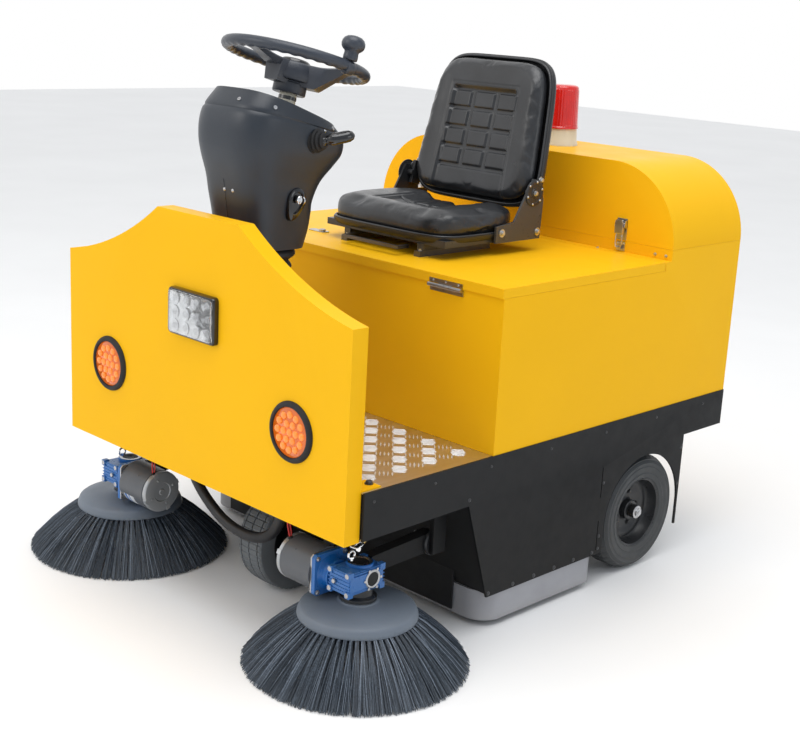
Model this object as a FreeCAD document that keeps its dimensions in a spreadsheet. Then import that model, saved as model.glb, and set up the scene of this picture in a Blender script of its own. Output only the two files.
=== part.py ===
import FreeCAD, Part
import math
import os
import re

import Sketcher

# Ride-on battery sweeper with two side brushes, built as separate sub-parts.
# Millimetres. +X is the machine's left, +Y points to its rear, +Z is up, and the floor is z = 0.
# Positions are stated from the front face of the front panel. front_y moves the whole machine so that
# the origin is the centre of its footprint.

V = FreeCAD.Vector
doc = FreeCAD.newDocument("ride_on_sweeper")

SIZES = {
    # overall
    "panel_width": 1000, "panel_low": 318, "shoulder_high": 769, "hump_high": 919, "hump_half": 142.5,
    "hump_radius": 843, "panel_depth": 42, "sheet": 2,
    # chassis and body
    "deck_high": 426, "deck_start": 42, "side_out": 510, "side_thick": 5, "body_half": 508,
    "body_front": 435.5, "lid_low": 780, "lid_high": 802, "lid_rear": 1034, "ledge_front": 1036,
    "hopper_front": 1060, "hopper_rear": 1367, "seam_high": 829, "hopper_high": 1026, "hopper_arc": 197,
    "tail_low": 332, "plate_low": 86, "rail_low": 380, "rail_high": 422, "rail_in": 465,
    # hinges
    "knuckle_r": 4.5, "pin_r": 2.4, "lid_pivot_y": 427, "lid_pivot_z": 777, "lid_hinge_x": 340,
    "cover_pivot_y": 1371.8, "cover_pivot_z": 829.2, "cover_hinge_x": 300, "leaf_half": 50,
    # wheels
    "rear_wheel_y": 1035, "rear_wheel_r": 150.5, "rear_wheel_out": 504, "rear_tyre_w": 88, "rear_rim_r": 90,
    "stub_r": 10, "front_wheel_x": 22, "front_wheel_y": 272, "front_wheel_r": 125,
    "front_tyre_w": 85, "stem_r": 15,
    # side brushes
    "brush_x": 424.7, "brush_y": 121, "brush_r": 249.5, "cap_r": 127, "cap_high": 148,
    "arm_pivot_y": 351, "arm_pivot_z": 216, "arm_pin_r": 8, "motor_r": 52, "motor_y": 91, "motor_z": 197,
    # main brush
    "main_y": 640, "main_z": 150, "main_r": 150, "carrier_y": 800, "carrier_z": 270,
    # steering column, which leans back by column_tilt degrees
    "wheel_y": 268, "wheel_z": 1246, "column_tilt": 15.3, "rim_r": 156, "rim_tube": 13, "shaft_r": 14,
    "tube_r": 20, "tube_bottom": 780, "tube_top": 84,
    # seat
    "seat_x": 15, "seat_half": 212, "rail_y": 540, "rail_length": 250, "pan_high": 848,
    "back_pivot_y": 847, "back_pivot_z": 946, "back_lean": 13, "back_pin_r": 8,
    # beacon
    "beacon_y": 1225, "beacon_r": 48,
}
SIZES["front_y"] = -(SIZES["cover_pivot_y"] + SIZES["knuckle_r"] + SIZES["brush_y"] - SIZES["brush_r"]) / 2

dims = doc.addObject("Spreadsheet::Sheet", "dims")
calc = doc.addObject("Spreadsheet::Sheet", "calc")
for row, (alias, value) in enumerate(SIZES.items(), start=1):
    dims.set("A%d" % row, alias)
    dims.set("B%d" % row, str(value))
    dims.setAlias("B%d" % row, alias)
doc.recompute()

RUNNING = 0.05   # radial clearance of a pin in its bore
PARTS = []       # the finished sub-parts


# ---------------------------------------------------------------- expressions, sketches and features

def full(expression):
    """The expression with each sheet name written as dims.name."""
    return re.sub(r"[a-z_]+[a-z0-9_]*", lambda m: "dims." + m.group() if m.group() in SIZES else m.group(),
                  str(expression))


def number(expression):
    """The value of an expression in the sheet's names."""
    calc.set("A1", "=" + full(expression))
    calc.recompute()
    return float(calc.get("A1"))


def bind(item, prop, expression):
    item.setExpression(prop, full(expression))


def at(item, x=0, y=0, z=0, turn=None):
    """Place a building piece by expressions, turned by (axis, degrees) about its own origin."""
    if turn:
        item.Placement = FreeCAD.Placement(V(0, 0, 0), FreeCAD.Rotation(V(*turn[0]), number(turn[1])))
    for axis, expression in zip("xyz", (x, y, z)):
        bind(item, "Placement.Base." + axis, expression)
    if "LocalY" not in item.PropertiesList:
        item.addProperty("App::PropertyString", "LocalY")
    item.LocalY = str(y)
    return item


def box(x, y, z, dx, dy, dz, turn=None):
    """Box with its low corner at x, y, z."""
    item = doc.addObject("Part::Box", "box")
    for prop, expression in (("Length", dx), ("Width", dy), ("Height", dz)):
        bind(item, prop, expression)
    return at(item, x, y, z, turn)


TURNS = {"x": ((0, 1, 0), 90), "y": ((1, 0, 0), -90), "z": None}


def cyl(axis, x, y, z, radius, length, turn=None):
    """Cylinder from x, y, z along a positive axis."""
    item = doc.addObject("Part::Cylinder", "cylinder")
    bind(item, "Radius", radius)
    bind(item, "Height", length)
    return at(item, x, y, z, turn or TURNS[axis])


def ball(x, y, z, radius):
    item = doc.addObject("Part::Sphere", "ball")
    bind(item, "Radius", radius)
    return at(item, x, y, z)


def joined(kind, members):
    """One solid (MultiFuse) or a set of separate solids (Compound)."""
    item = doc.addObject("Part::" + kind, kind.lower())
    setattr(item, "Shapes" if kind == "MultiFuse" else "Links", members)
    return item


def fuse(*members):
    return joined("MultiFuse", list(members))


def group(*members):
    return joined("Compound", list(members))


def cut(base, *tools):
    item = doc.addObject("Part::Cut", "cut")
    item.Base = base
    item.Tool = tools[0] if len(tools) == 1 else fuse(*tools)
    return item


def rounded(base, radius, pick=None):
    """Fillet the edges of a building piece that PICK accepts, or all of them."""
    doc.recompute()
    item = doc.addObject("Part::Fillet", "fillet")
    item.Base = base
    chosen = [i for i, edge in enumerate(base.Shape.Edges, start=1) if pick is None or pick(edge)]
    item.Edges = [(i, radius, radius) for i in chosen]
    return item


def sketch_on(body, role, offset):
    """Sketch on one of the body's own origin planes, moved along the plane's +axis by OFFSET."""
    sketch = body.newObject("Sketcher::SketchObject", "sketch")
    plane = [feature for feature in body.Origin.OriginFeatures if feature.Role == role + "_Plane"][0]
    sketch.AttachmentSupport = [(plane, "")]
    sketch.MapMode = "FlatFace"
    sign = "-" if role == "XZ" else ""
    bind(sketch, "AttachmentOffset.Base.z", "%s(%s)" % (sign, offset))
    return sketch


def draw(sketch, loop):
    """Closed outline. A point is (u, v), or (u, v, r) after an arc of radius r that turns left (r > 0)
    or right (r < 0) on its way there. ("circle", u, v, r) is a whole circle."""
    first = sketch.GeometryCount
    if loop[0] == "circle":
        u, v, r = (number(value) for value in loop[1:])
        sketch.addGeometry(Part.Circle(V(u, v, 0), V(0, 0, 1), r))
        sketch.addConstraint(Sketcher.Constraint("Radius", first, r))
        bind(sketch, "Constraints[%d]" % (sketch.ConstraintCount - 1), loop[3])
        limits = [(first, 3, loop[1], loop[2])]
    else:
        spots = [V(number(point[0]), number(point[1]), 0) for point in loop]
        ends = []
        limits = []
        for i, start in enumerate(spots):
            goal = loop[(i + 1) % len(loop)]
            end = spots[(i + 1) % len(spots)]
            if len(goal) == 2:
                sketch.addGeometry(Part.LineSegment(start, end))
                ends.append((1, 2))
            else:
                radius = number(goal[2])
                chord = end - start
                rise = abs(radius) - math.sqrt(max(radius ** 2 - (chord.Length / 2) ** 2, 0))
                side = V(chord.y, -chord.x, 0).normalize() * math.copysign(rise, radius)
                middle = (start + end) * 0.5 + side
                order = (start, middle, end) if radius > 0 else (end, middle, start)
                sketch.addGeometry(Part.Arc(*order))
                ends.append((1, 2) if radius > 0 else (2, 1))
            limits.append((first + i, ends[-1][0], loop[i][0], loop[i][1]))
        for i, (_, tail) in enumerate(ends):
            follower = (i + 1) % len(ends)
            sketch.addConstraint(Sketcher.Constraint("Coincident", first + i, tail,
                                                     first + follower, ends[follower][0]))
            if len(loop[follower]) == 3:
                size = abs(number(loop[follower][2]))
                if (spots[follower] - spots[i]).Length < 1.999 * size:
                    sketch.addConstraint(Sketcher.Constraint("Radius", first + i, size))
    for index, spot, u, v in limits:
        for kind, expression in (("DistanceX", u), ("DistanceY", v)):
            sketch.addConstraint(Sketcher.Constraint(kind, -1, 1, index, spot, number(expression)))
            bind(sketch, "Constraints[%d]" % (sketch.ConstraintCount - 1), expression)


def pad(role, loops, start, length, body=None):
    """Body padded along the plane's +axis from START. The plane is XY, XZ (u = x, v = z, along +Y) or YZ."""
    body = body or doc.addObject("PartDesign::Body", "body")
    sketch = sketch_on(body, role, start)
    for loop in loops:
        draw(sketch, loop)
    item = body.newObject("PartDesign::Pad", "pad")
    item.Profile = sketch
    item.Reversed = role == "XZ"
    bind(item, "Length", length)
    return body


def pocket(body, role, loops, start, length):
    """Cut along the plane's +axis from START, and make sure that something was cut."""
    doc.recompute()
    before = body.Shape.Volume
    sketch = sketch_on(body, role, start)
    for loop in loops:
        draw(sketch, loop)
    item = body.newObject("PartDesign::Pocket", "pocket")
    item.Profile = sketch
    item.Reversed = role != "XZ"
    bind(item, "Length", length)
    doc.recompute()
    if body.Shape.Volume > before - 1:
        raise ValueError("a pocket cut nothing")
    return body


def turned(loop):
    """Body of revolution about its own +Z, from an outline of (radius, height) points."""
    body = doc.addObject("PartDesign::Body", "body")
    sketch = sketch_on(body, "XZ", 0)
    draw(sketch, loop)
    item = body.newObject("PartDesign::Revolution", "turn")
    item.Profile = sketch
    item.ReferenceAxis = (sketch, ["V_Axis"])
    item.Angle = 360
    return body


def finish(name, item):
    """Name a finished sub-part and move it with the whole machine."""
    item.Label = name
    local = getattr(item, "LocalY", "0")
    bind(item, "Placement.Base.y", "front_y + (%s)" % local)
    PARTS.append(item)


def rectangle(u0, v0, u1, v1):
    return [(u0, v0), (u1, v0), (u1, v1), (u0, v1)]


SIDES = (("left", 1), ("right", -1))


def flip(sign, expression, width=0):
    """Low x of a piece of WIDTH whose left-hand low x is EXPRESSION."""
    return expression if sign > 0 else "-(%s) - (%s)" % (expression, width)


# ---------------------------------------------------------------- chassis

def make_frame():
    """Welded tube frame with the battery tray, stub axles, arm brackets and steering head."""
    rails = [box(flip(s, "rail_in", 38), "deck_start + 3", "rail_low", 38, 1315, "rail_high - rail_low")
             for _, s in SIDES]
    crosses = [box("-rail_in", y, "rail_low", "2 * rail_in", 40, "rail_high - rail_low")
               for y in (45, 440, 1018, 1320)]
    tray = box("-rail_in", 480, "rail_high - 3", "2 * rail_in", 538, 3)
    head = box("front_wheel_x - 35", 85, "rail_low", 70, 355, 38)
    pieces = rails + crosses + [tray, head]
    holes = [cyl("z", "front_wheel_x", "front_wheel_y", 370, "stem_r + %s" % RUNNING, 60)]
    for _, s in SIDES:
        pieces.append(box(flip(s, 388, 12), 1010, 130, 12, 50, 251))
        pieces.append(box(flip(s, 388, 80), 1018, "rail_low", 80, 40, 40))
        pieces.append(cyl("x", flip(s, 396, 92), "rear_wheel_y", "rear_wheel_r", "stub_r", 92))
        pieces.append(cyl("x", flip(s, 482, 14), "rear_wheel_y", "rear_wheel_r", 17, 14))
        pieces.append(box(flip(s, 428, 12), "arm_pivot_y - 20", "arm_pivot_z - 20", 12, 40, 190))
        pieces.append(box(flip(s, 428, 40), "arm_pivot_y - 20", "rail_low", 40, 40, 38))
        pieces.append(cyl("x", flip(s, 372, 60), "arm_pivot_y", "arm_pivot_z", "arm_pin_r", 60))
    finish("chassis_frame", cut(fuse(*pieces), *holes))


def make_side_plates():
    """Black side plate with a wheel arch, and the pin that carries the main brush."""
    arch = 158
    outline = [("deck_start", "panel_low + 4"), (363.5, 325.6), (443.7, "plate_low"), (852, "plate_low"),
               (874, "plate_low"), (874, "rear_wheel_r"),
               ("rear_wheel_y - 3", "rear_wheel_r + %d" % arch, -arch),
               ("rear_wheel_y - 3 + %d" % arch, "rear_wheel_r", -arch),
               (1190, "plate_low"), (1196, "plate_low"), (1196, "tail_low"), ("hopper_rear", "tail_low"),
               ("hopper_rear", "deck_high"), ("deck_start", "deck_high")]
    for side, s in SIDES:
        plate = pad("YZ", [outline], flip(s, "side_out - side_thick", "side_thick"), "side_thick")
        for low in (96, 235):
            pocket(plate, "YZ", [rectangle(850, low, 853, low + 78)], "-side_out - 1", "2 * side_out + 2")
        pin = cyl("x", flip(s, 478, 28), "carrier_y", "carrier_z", 8, 28)
        finish("side_plate_" + side, fuse(plate, pin))


def make_deck():
    """Chequer plate that the driver's feet stand on."""
    plan = rectangle("-side_out + side_thick", "deck_start", "side_out - side_thick", "body_front - 0.5")
    finish("floor_plate", pad("XY", [plan], "deck_high - sheet", "sheet"))


def hump(inset):
    """Outline of the front panel, with its two concave shoulders."""
    half = "panel_width / 2 - %s" % inset
    return [("-(%s)" % half, "panel_low + %s" % inset), (half, "panel_low + %s" % inset),
            (half, "shoulder_high - %s" % inset),
            ("hump_half - %s * 0.6" % inset, "hump_high - %s" % inset, "-hump_radius"),
            ("-hump_half + %s * 0.6" % inset, "hump_high - %s" % inset),
            ("-(%s)" % half, "shoulder_high - %s" % inset, "-hump_radius")]


def make_front_panel():
    """Folded front panel: a face sheet with an edge turned back all round, and two feet on the deck."""
    panel = pad("XZ", [hump(0)], 0, "panel_depth")
    pocket(panel, "XZ", [hump(2)], "sheet", "panel_depth")
    feet = [box(flip(s, 452, 48), 40, "deck_high", 48, 58, 3) for _, s in SIDES]
    holes = [cyl("z", "%d" % (s * 476), 86, 420, 5, 20) for _, s in SIDES]
    finish("front_panel", cut(fuse(panel, *feet), *holes))


def make_body():
    """Folded body: battery compartment, fixed ledge, dividing wall and the hopper's lower walls."""
    outline = [("body_front", "deck_high"), ("hopper_rear", "deck_high"), ("hopper_rear", "seam_high"),
               ("hopper_front", "seam_high"), ("hopper_front", "lid_high"), ("ledge_front", "lid_high"),
               ("ledge_front", "lid_low"), ("body_front", "lid_low")]
    body = pad("YZ", [outline], "-body_half", "2 * body_half")
    battery = [("body_front + sheet", "deck_high - 1"), ("hopper_front - sheet", "deck_high - 1"),
               ("hopper_front - sheet", "lid_low - sheet"), ("lid_rear - 2", "lid_low - sheet"),
               ("lid_rear - 2", "lid_low + 1"), ("body_front + sheet", "lid_low + 1")]
    pocket(body, "YZ", [battery], "-body_half + sheet", "2 * (body_half - sheet)")
    pocket(body, "YZ", [rectangle("hopper_front + sheet", "deck_high - 1", "hopper_rear - sheet",
                                  "seam_high + 1")], "-body_half + sheet", "2 * (body_half - sheet)")
    finish("body_box", body)


def make_lid():
    """Folded seat plate over the batteries."""
    gap = 0.4
    lid = pad("YZ", [rectangle("body_front - 3.5", "lid_low + %s" % gap, "lid_rear", "lid_high")],
              "-body_half", "2 * body_half")
    pocket(lid, "YZ", [rectangle("body_front - 1.5", "lid_low - 1", "lid_rear - sheet", "lid_high - sheet")],
           "-body_half + sheet", "2 * (body_half - sheet)")
    finish("seat_lid", lid)


def make_cover():
    """Hopper cover, an arched sheet with closed ends."""
    cover = pad("XZ", [hopper_profile(0, "seam_high + 0.4")], "hopper_front", "hopper_rear - hopper_front")
    pocket(cover, "XZ", [hopper_profile(2, "seam_high - 1")], "hopper_front + sheet",
           "hopper_rear - hopper_front - 2 * sheet")
    finish("hopper_cover", cover)


def hopper_profile(inset, low):
    """Arch from the height LOW: sides, quarter rounds and flat top, INSET from the outer skin."""
    half = "body_half - %s" % inset
    top = "hopper_high - %s" % inset
    spring = "hopper_high - hopper_arc + 2"
    flat = "body_half - hopper_arc"
    return [("-(%s)" % half, low), (half, low), (half, spring), (flat, top, "hopper_arc - %s" % inset),
            ("-(%s)" % flat, top), ("-(%s)" % half, spring, "hopper_arc - %s" % inset)]


def make_hinges():
    """Butt hinges of the seat lid and the hopper cover: leaves, knuckles and pins."""
    fixed = []
    for sign in (-1, 1):
        x0 = "%d * lid_hinge_x" % sign
        pin = cyl("x", x0 + " - leaf_half", "lid_pivot_y", "lid_pivot_z", "pin_r", "2 * leaf_half")
        ends = [cyl("x", x0 + shift, "lid_pivot_y", "lid_pivot_z", "knuckle_r", 30)
                for shift in (" - leaf_half", " + 20")]
        web = [box(x0 + shift, "lid_pivot_y", "lid_pivot_z - knuckle_r", 30, "body_front - lid_pivot_y", 2.5)
               for shift in (" - leaf_half", " + 20")]
        leaf = box(x0 + " - leaf_half", "body_front - 2.5", "lid_pivot_z - 14", "2 * leaf_half", 2.5, 12)
        fixed.append(fuse(pin, leaf, *ends, *web))
    for sign in (-1, 1):
        x0 = "%d * cover_hinge_x" % sign
        pin = cyl("x", x0 + " - leaf_half", "cover_pivot_y", "cover_pivot_z", "pin_r", "2 * leaf_half")
        ends = [cyl("x", x0 + shift, "cover_pivot_y", "cover_pivot_z", "knuckle_r", 30)
                for shift in (" - leaf_half", " + 20")]
        leaf = box(x0 + " - leaf_half", "hopper_rear", "cover_pivot_z - 34", "2 * leaf_half", 2, 28.8)
        web = [box(x0 + shift, "hopper_rear", "cover_pivot_z - 6", 30, 3.5, 5)
               for shift in (" - leaf_half", " + 20")]
        fixed.append(fuse(pin, leaf, *ends, *web))
    finish("hinge_fixed_leaves", group(*fixed))
    for name, y, z, span in (("lid_hinge_leaves", "lid_pivot_y", "lid_pivot_z", "lid_hinge_x"),
                             ("cover_hinge_leaves", "cover_pivot_y", "cover_pivot_z", "cover_hinge_x")):
        moving = []
        for sign in (-1, 1):
            x0 = "%d * %s" % (sign, span)
            knuckle = cyl("x", x0 + " - 19.5", y, z, "knuckle_r", 39)
            if span == "lid_hinge_x":
                leaf = box(x0 + " - leaf_half", "body_front - 6", "lid_low + 2.6", "2 * leaf_half", 2.5, 9)
                web = box(x0 + " - 19.5", "lid_pivot_y + 1.5", z, 39, 3.5, 6)
            else:
                leaf = box(x0 + " - leaf_half", "hopper_rear", z + " + 5.2", "2 * leaf_half", 2, 26)
                web = box(x0 + " - 19.5", "hopper_rear", z + " + 1", 39, 3.5, 5)
            bore = cyl("x", x0 + " - 20", y, z, "pin_r + %s" % RUNNING, 40)
            moving.append(cut(fuse(knuckle, leaf, web), bore))
        finish(name, group(*moving))


def make_chamber():
    """Box over the main brush, open below and at the lower rear, and the rubber skirt round it."""
    outer = [(447, 91), (373, 330), (845, 330), (845, 240), (842, 240), (842, 327), (377, 327), (450, 91)]
    finish("brush_chamber", pad("YZ", [outer], "-(side_out - side_thick - 0.5)",
                                "2 * (side_out - side_thick - 0.5)"))
    out, bend, front, rear = 504.5, 60, 443, 833
    inner = out - 5
    loop = [(out, rear), (inner, rear),
            (inner, front + bend), (out - bend, front + 5, -(bend - 5)),
            (-(out - bend), front + 5), (-inner, front + bend, -(bend - 5)),
            (-inner, rear), (-out, rear),
            (-out, front + bend), (-(out - bend), front, bend),
            (out - bend, front), (out, front + bend, bend)]
    finish("rubber_skirt", pad("XY", [loop], 15, 74))


# ---------------------------------------------------------------- lamps

def make_lamps():
    """Headlight and the two turn lamps, proud of the panel, and the rotating-beacon housing."""
    front = -14
    housing = box(-82, front, 647, 164, -front, 106)
    finish("headlight_housing", rounded(housing, 5, lambda edge: abs(edge.BoundBox.YMin - front) < 0.1))
    finish("headlight_lens", box(-76, front - 6, 653, 152, 6, 94))
    rings = [turned([(54, 0), (66, 0), (66, 4), (62, 9), (54, 9)]) for _ in SIDES]
    lenses = [turned([(0, 0), (53.7, 0), (53.7, 7), (0, 10)]) for _ in SIDES]
    for items in (rings, lenses):
        for item, (_, s) in zip(items, SIDES):
            at(item, s * 330, 0, 518, ((1, 0, 0), 90))
    finish("turn_lamp_bezels", group(*rings))
    finish("turn_lamp_lenses", group(*lenses))
    base = turned([(0, 0), (50, 0), (50, 8), (45, 42), (45, 46), (0, 46)])
    finish("beacon_base", at(base, 0, "beacon_y", "hopper_high"))
    lens = turned([(0, 0), ("beacon_r", 0), ("beacon_r - 3", 82), ("beacon_r - 6", 105),
                   ("beacon_r - 16", 114), (0, 116)])
    finish("beacon_lens", at(lens, 0, "beacon_y", "hopper_high + 46"))


# ---------------------------------------------------------------- steering

AXIS = ((1, 0, 0), "-column_tilt")


def on_axis(item, drop, aside=0):
    """Place a piece that is built along +Z on the leaning column, DROP below the wheel's centre."""
    return at(item, aside, "wheel_y - (%s) * sin(column_tilt * 1deg)" % drop,
              "wheel_z - (%s) * cos(column_tilt * 1deg)" % drop, AXIS)


def make_steering():
    """Column tube, shaft, three-spoke wheel and spinner knob."""
    tube = on_axis(turned([("shaft_r + %s" % RUNNING, 0), ("tube_r", 0), ("tube_r", "tube_bottom - tube_top"),
                           ("shaft_r + %s" % RUNNING, "tube_bottom - tube_top")]), "tube_bottom")
    foot = box(-45, 44, "deck_high", 90, 70, 74)
    bore = on_axis(cyl("z", 0, 0, 0, "tube_r - 1", 120), "tube_bottom + 20")
    finish("steering_tube", fuse(tube, cut(foot, bore)))

    low, hub_drop, collar_r = "tube_bottom - 8", 70, 19.5
    shoulder = "tube_bottom - 7.6 - tube_top"
    shaft = turned([(0, 0), ("shaft_r", 0), ("shaft_r", shoulder), (collar_r, shoulder),
                    (collar_r, "%s - %s" % (low, hub_drop)), (0, "%s - %s" % (low, hub_drop))])
    finish("steering_shaft", on_axis(shaft, low))

    rim = doc.addObject("Part::Torus", "rim")
    bind(rim, "Radius1", "rim_r")
    bind(rim, "Radius2", "rim_tube")
    at(rim)
    hub = turned([(0, 0), (48, 0), (48, 32), (58, 40), (58, 62), (40, 70), (0, 70)])
    at(hub, 0, 0, -hub_drop)
    inner, width = 30, 44
    arms = []
    for angle in (-90, 30, 150):
        ahead = V(math.cos(math.radians(angle)), math.sin(math.radians(angle)), 0)
        corner = ahead * inner + V(ahead.y, -ahead.x, 0) * width / 2
        arms.append(box(corner.x, corner.y, -28, "rim_r - %d" % inner, width, 20, ((0, 0, 1), angle)))
    finish("steering_wheel", on_axis(fuse(rim, hub, *arms), 0))

    knob_angle = math.radians(5)
    knob = turned([(0, 0), (14, 0), (16, 3), (15, 18), (22, 24), (26, 35, 18), (21, 47, 20), (0, 53)])
    x = "rim_r * %.4f" % math.cos(knob_angle)
    back = "rim_r * %.4f" % math.sin(knob_angle)
    lift = "(rim_tube + 0.4)"
    at(knob, x, "wheel_y + %s * cos(column_tilt * 1deg) + %s * sin(column_tilt * 1deg)" % (back, lift),
       "wheel_z - %s * sin(column_tilt * 1deg) + %s * cos(column_tilt * 1deg)" % (back, lift), AXIS)
    finish("spinner_knob", knob)


def cowl_sections(inset):
    """Level sections of the cowl: (height, half width, front, rear, corner radius)."""
    sections = [(840, 84, 97, 252, 45), (921, 92, 82, 274, 48), (985, 100, 72, 296, 52),
                (1065, 116, 56, 350, 58), (1200, 112, 100, 352, 58)]
    return [(z, half - inset, front + inset, rear - inset, corner - inset)
            for z, half, front, rear, corner in sections]


def cowl_loft(inset, extra):
    """Loft through the cowl's sections, EXTRA below its bottom."""
    body = doc.addObject("PartDesign::Body", "cowl")
    sketches = []
    for i, (z, half, front, rear, corner) in enumerate(cowl_sections(inset)):
        sketch = sketch_on(body, "XY", z - (extra if i == 0 else 0))
        loop = [(half - corner, front), (half, front + corner, corner), (half, rear - corner),
                (half - corner, rear, corner), (corner - half, rear), (-half, rear - corner, corner),
                (-half, front + corner), (corner - half, front, corner)]
        draw(sketch, loop)
        sketches.append(sketch)
    loft = body.newObject("PartDesign::AdditiveLoft", "loft")
    loft.Profile = sketches[0]
    loft.Sections = sketches[1:]
    loft.Ruled = False
    return body


def make_cowl():
    """Plastic shell round the column, its top parallel to the steering wheel, and the bellows below."""
    top, wall = 1244, 4
    outer = cut(cowl_loft(0, 0), box(-300, -100, top, 700, 700, 700, AXIS))
    inner = cut(cowl_loft(wall, 1), box(-300, -100, top - wall, 700, 700, 700, AXIS))
    bore = on_axis(cyl("z", 0, 0, 0, "tube_r + 1", 300), 260)
    finish("column_cowl", cut(outer, inner, bore))

    count, low, high, pitch = 8, 58, 78, 30
    crests = [low + (high - low) * i / (count - 1) for i in range(count)]
    waves = []
    for i, radius in enumerate(crests):
        waves += [(radius - 8, i * pitch), (radius, i * pitch + pitch / 2)]
    waves += [(high - 8, count * pitch), (high - 14, count * pitch)]
    for i, radius in reversed(list(enumerate(crests))):
        waves += [(radius - 6, i * pitch + pitch / 2), (radius - 14, i * pitch)]
    finish("column_bellows", on_axis(turned(waves), 685))


def make_controls():
    """Direction lever, ignition key and the two pedals with their brackets."""
    pivot, way = V(134, 238, 1083), V(0.42, 0.87, 0.20)
    turn = FreeCAD.Rotation(V(0, 0, 1), way)
    tilt = (turn.Axis, math.degrees(turn.Angle))
    stalk = cyl("z", pivot.x, pivot.y, pivot.z, 5, 34, tilt)
    root = pivot + way * 28
    grip = cyl("z", root.x, root.y, root.z, 12, 42, tilt)
    finish("direction_lever", fuse(ball(pivot.x, pivot.y, pivot.z, 13), stalk, grip))
    key = fuse(cyl("x", 103.5, 197, 954, 9, 7), box(110, 195, 943, 12, 4, 22))
    finish("ignition_key", key)

    pivot_y, pivot_z, pin_r, thick = 165, "deck_high + 20", 4, 4
    brackets = []
    for x in (-150, 95):
        for side in (x, x + 51):
            hole = cyl("x", side - 1, pivot_y, pivot_z, pin_r + RUNNING, thick + 2)
            brackets.append(cut(box(side, pivot_y - 15, "deck_high", thick, 30, 36), hole))
    finish("pedal_brackets", group(*brackets))
    for name, x in (("brake_pedal", 95), ("accelerator_pedal", -150)):
        pin = cyl("x", x, pivot_y, pivot_z, pin_r, 55)
        plate = pad("YZ", [[(170, "deck_high + 14"), (172, "deck_high + 26"), (95, "deck_high + 84"),
                            (90, "deck_high + 78")]], x + 5, 45)
        finish(name, fuse(pin, plate))


# ---------------------------------------------------------------- wheels

def make_front_wheel():
    """Steered drive wheel: fork, tyre on its rim, and the motor on the fork's right leg."""
    x, y = "front_wheel_x", "front_wheel_y"
    legs = [box("%s %+d" % (x, shift), y + " - 32", 92, 8, 64, 180) for shift in (50, -58)]
    crown = box(x + " - 58", y + " - 32", 262, 116, 64, 14)
    stem = cyl("z", x, y, 270, "stem_r", 148)
    axle = cyl("x", x + " - 58", y, "front_wheel_r", 12, 116)
    collar = cyl("z", x, y, 276, 28, 103)
    finish("drive_fork", fuse(crown, stem, axle, collar, *legs))
    half = "front_tyre_w / 2"
    tyre = turned([(80, "-(%s)" % half), ("front_wheel_r - 8", "-(%s)" % half),
                   ("front_wheel_r", "8 - %s" % half), ("front_wheel_r", "%s - 8" % half),
                   ("front_wheel_r - 8", half), (80, half)])
    bore = 12 + RUNNING
    rim = turned([(bore, -40), (30, -40), (30, -8), (70, -8), (70, -38), (80, -38),
                  (80, 38), (70, 38), (70, 8), (30, 8), (30, 40), (bore, 40)])
    wheel = joined("MultiFuse", [tyre, rim])
    at(wheel, x, y, "front_wheel_r", TURNS["x"])
    finish("drive_wheel", wheel)
    motor = fuse(cyl("x", x + " - 118", y, "front_wheel_r", 52, 60),
                 cyl("x", x + " - 124", y, "front_wheel_r", 44, 6))
    finish("drive_motor", motor)


def make_rear_wheels():
    """Free-turning rear wheels on the stub axles."""
    for side, s in SIDES:
        width = "rear_tyre_w"
        tyre = turned([("rear_rim_r", 6), ("rear_rim_r + 14", 0), ("rear_wheel_r - 18", 0),
                       ("rear_wheel_r - 5", 8), ("rear_wheel_r", 20), ("rear_wheel_r", width + " - 20"),
                       ("rear_wheel_r - 5", width + " - 8"), ("rear_wheel_r - 18", width),
                       ("rear_rim_r + 14", width), ("rear_rim_r", width + " - 6")])
        bore = "stub_r + %s" % RUNNING
        rim = turned([(bore, 8), (34, 8), (34, 34), (66, 44), (80, 40), (84, 6), ("rear_rim_r", 6),
                      ("rear_rim_r", 82), (84, 82), (78, 56), (66, 52), (24, 42), (24, 64), (bore, 64)])
        for name, item in (("rear_tyre_", tyre), ("rear_rim_", rim)):
            turn = ((0, 1, 0), 90 * s)
            at(item, "%d * (rear_wheel_out - rear_tyre_w)" % s, "rear_wheel_y", "rear_wheel_r", turn)
            finish(name + side, item)


# ---------------------------------------------------------------- brushes

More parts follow.
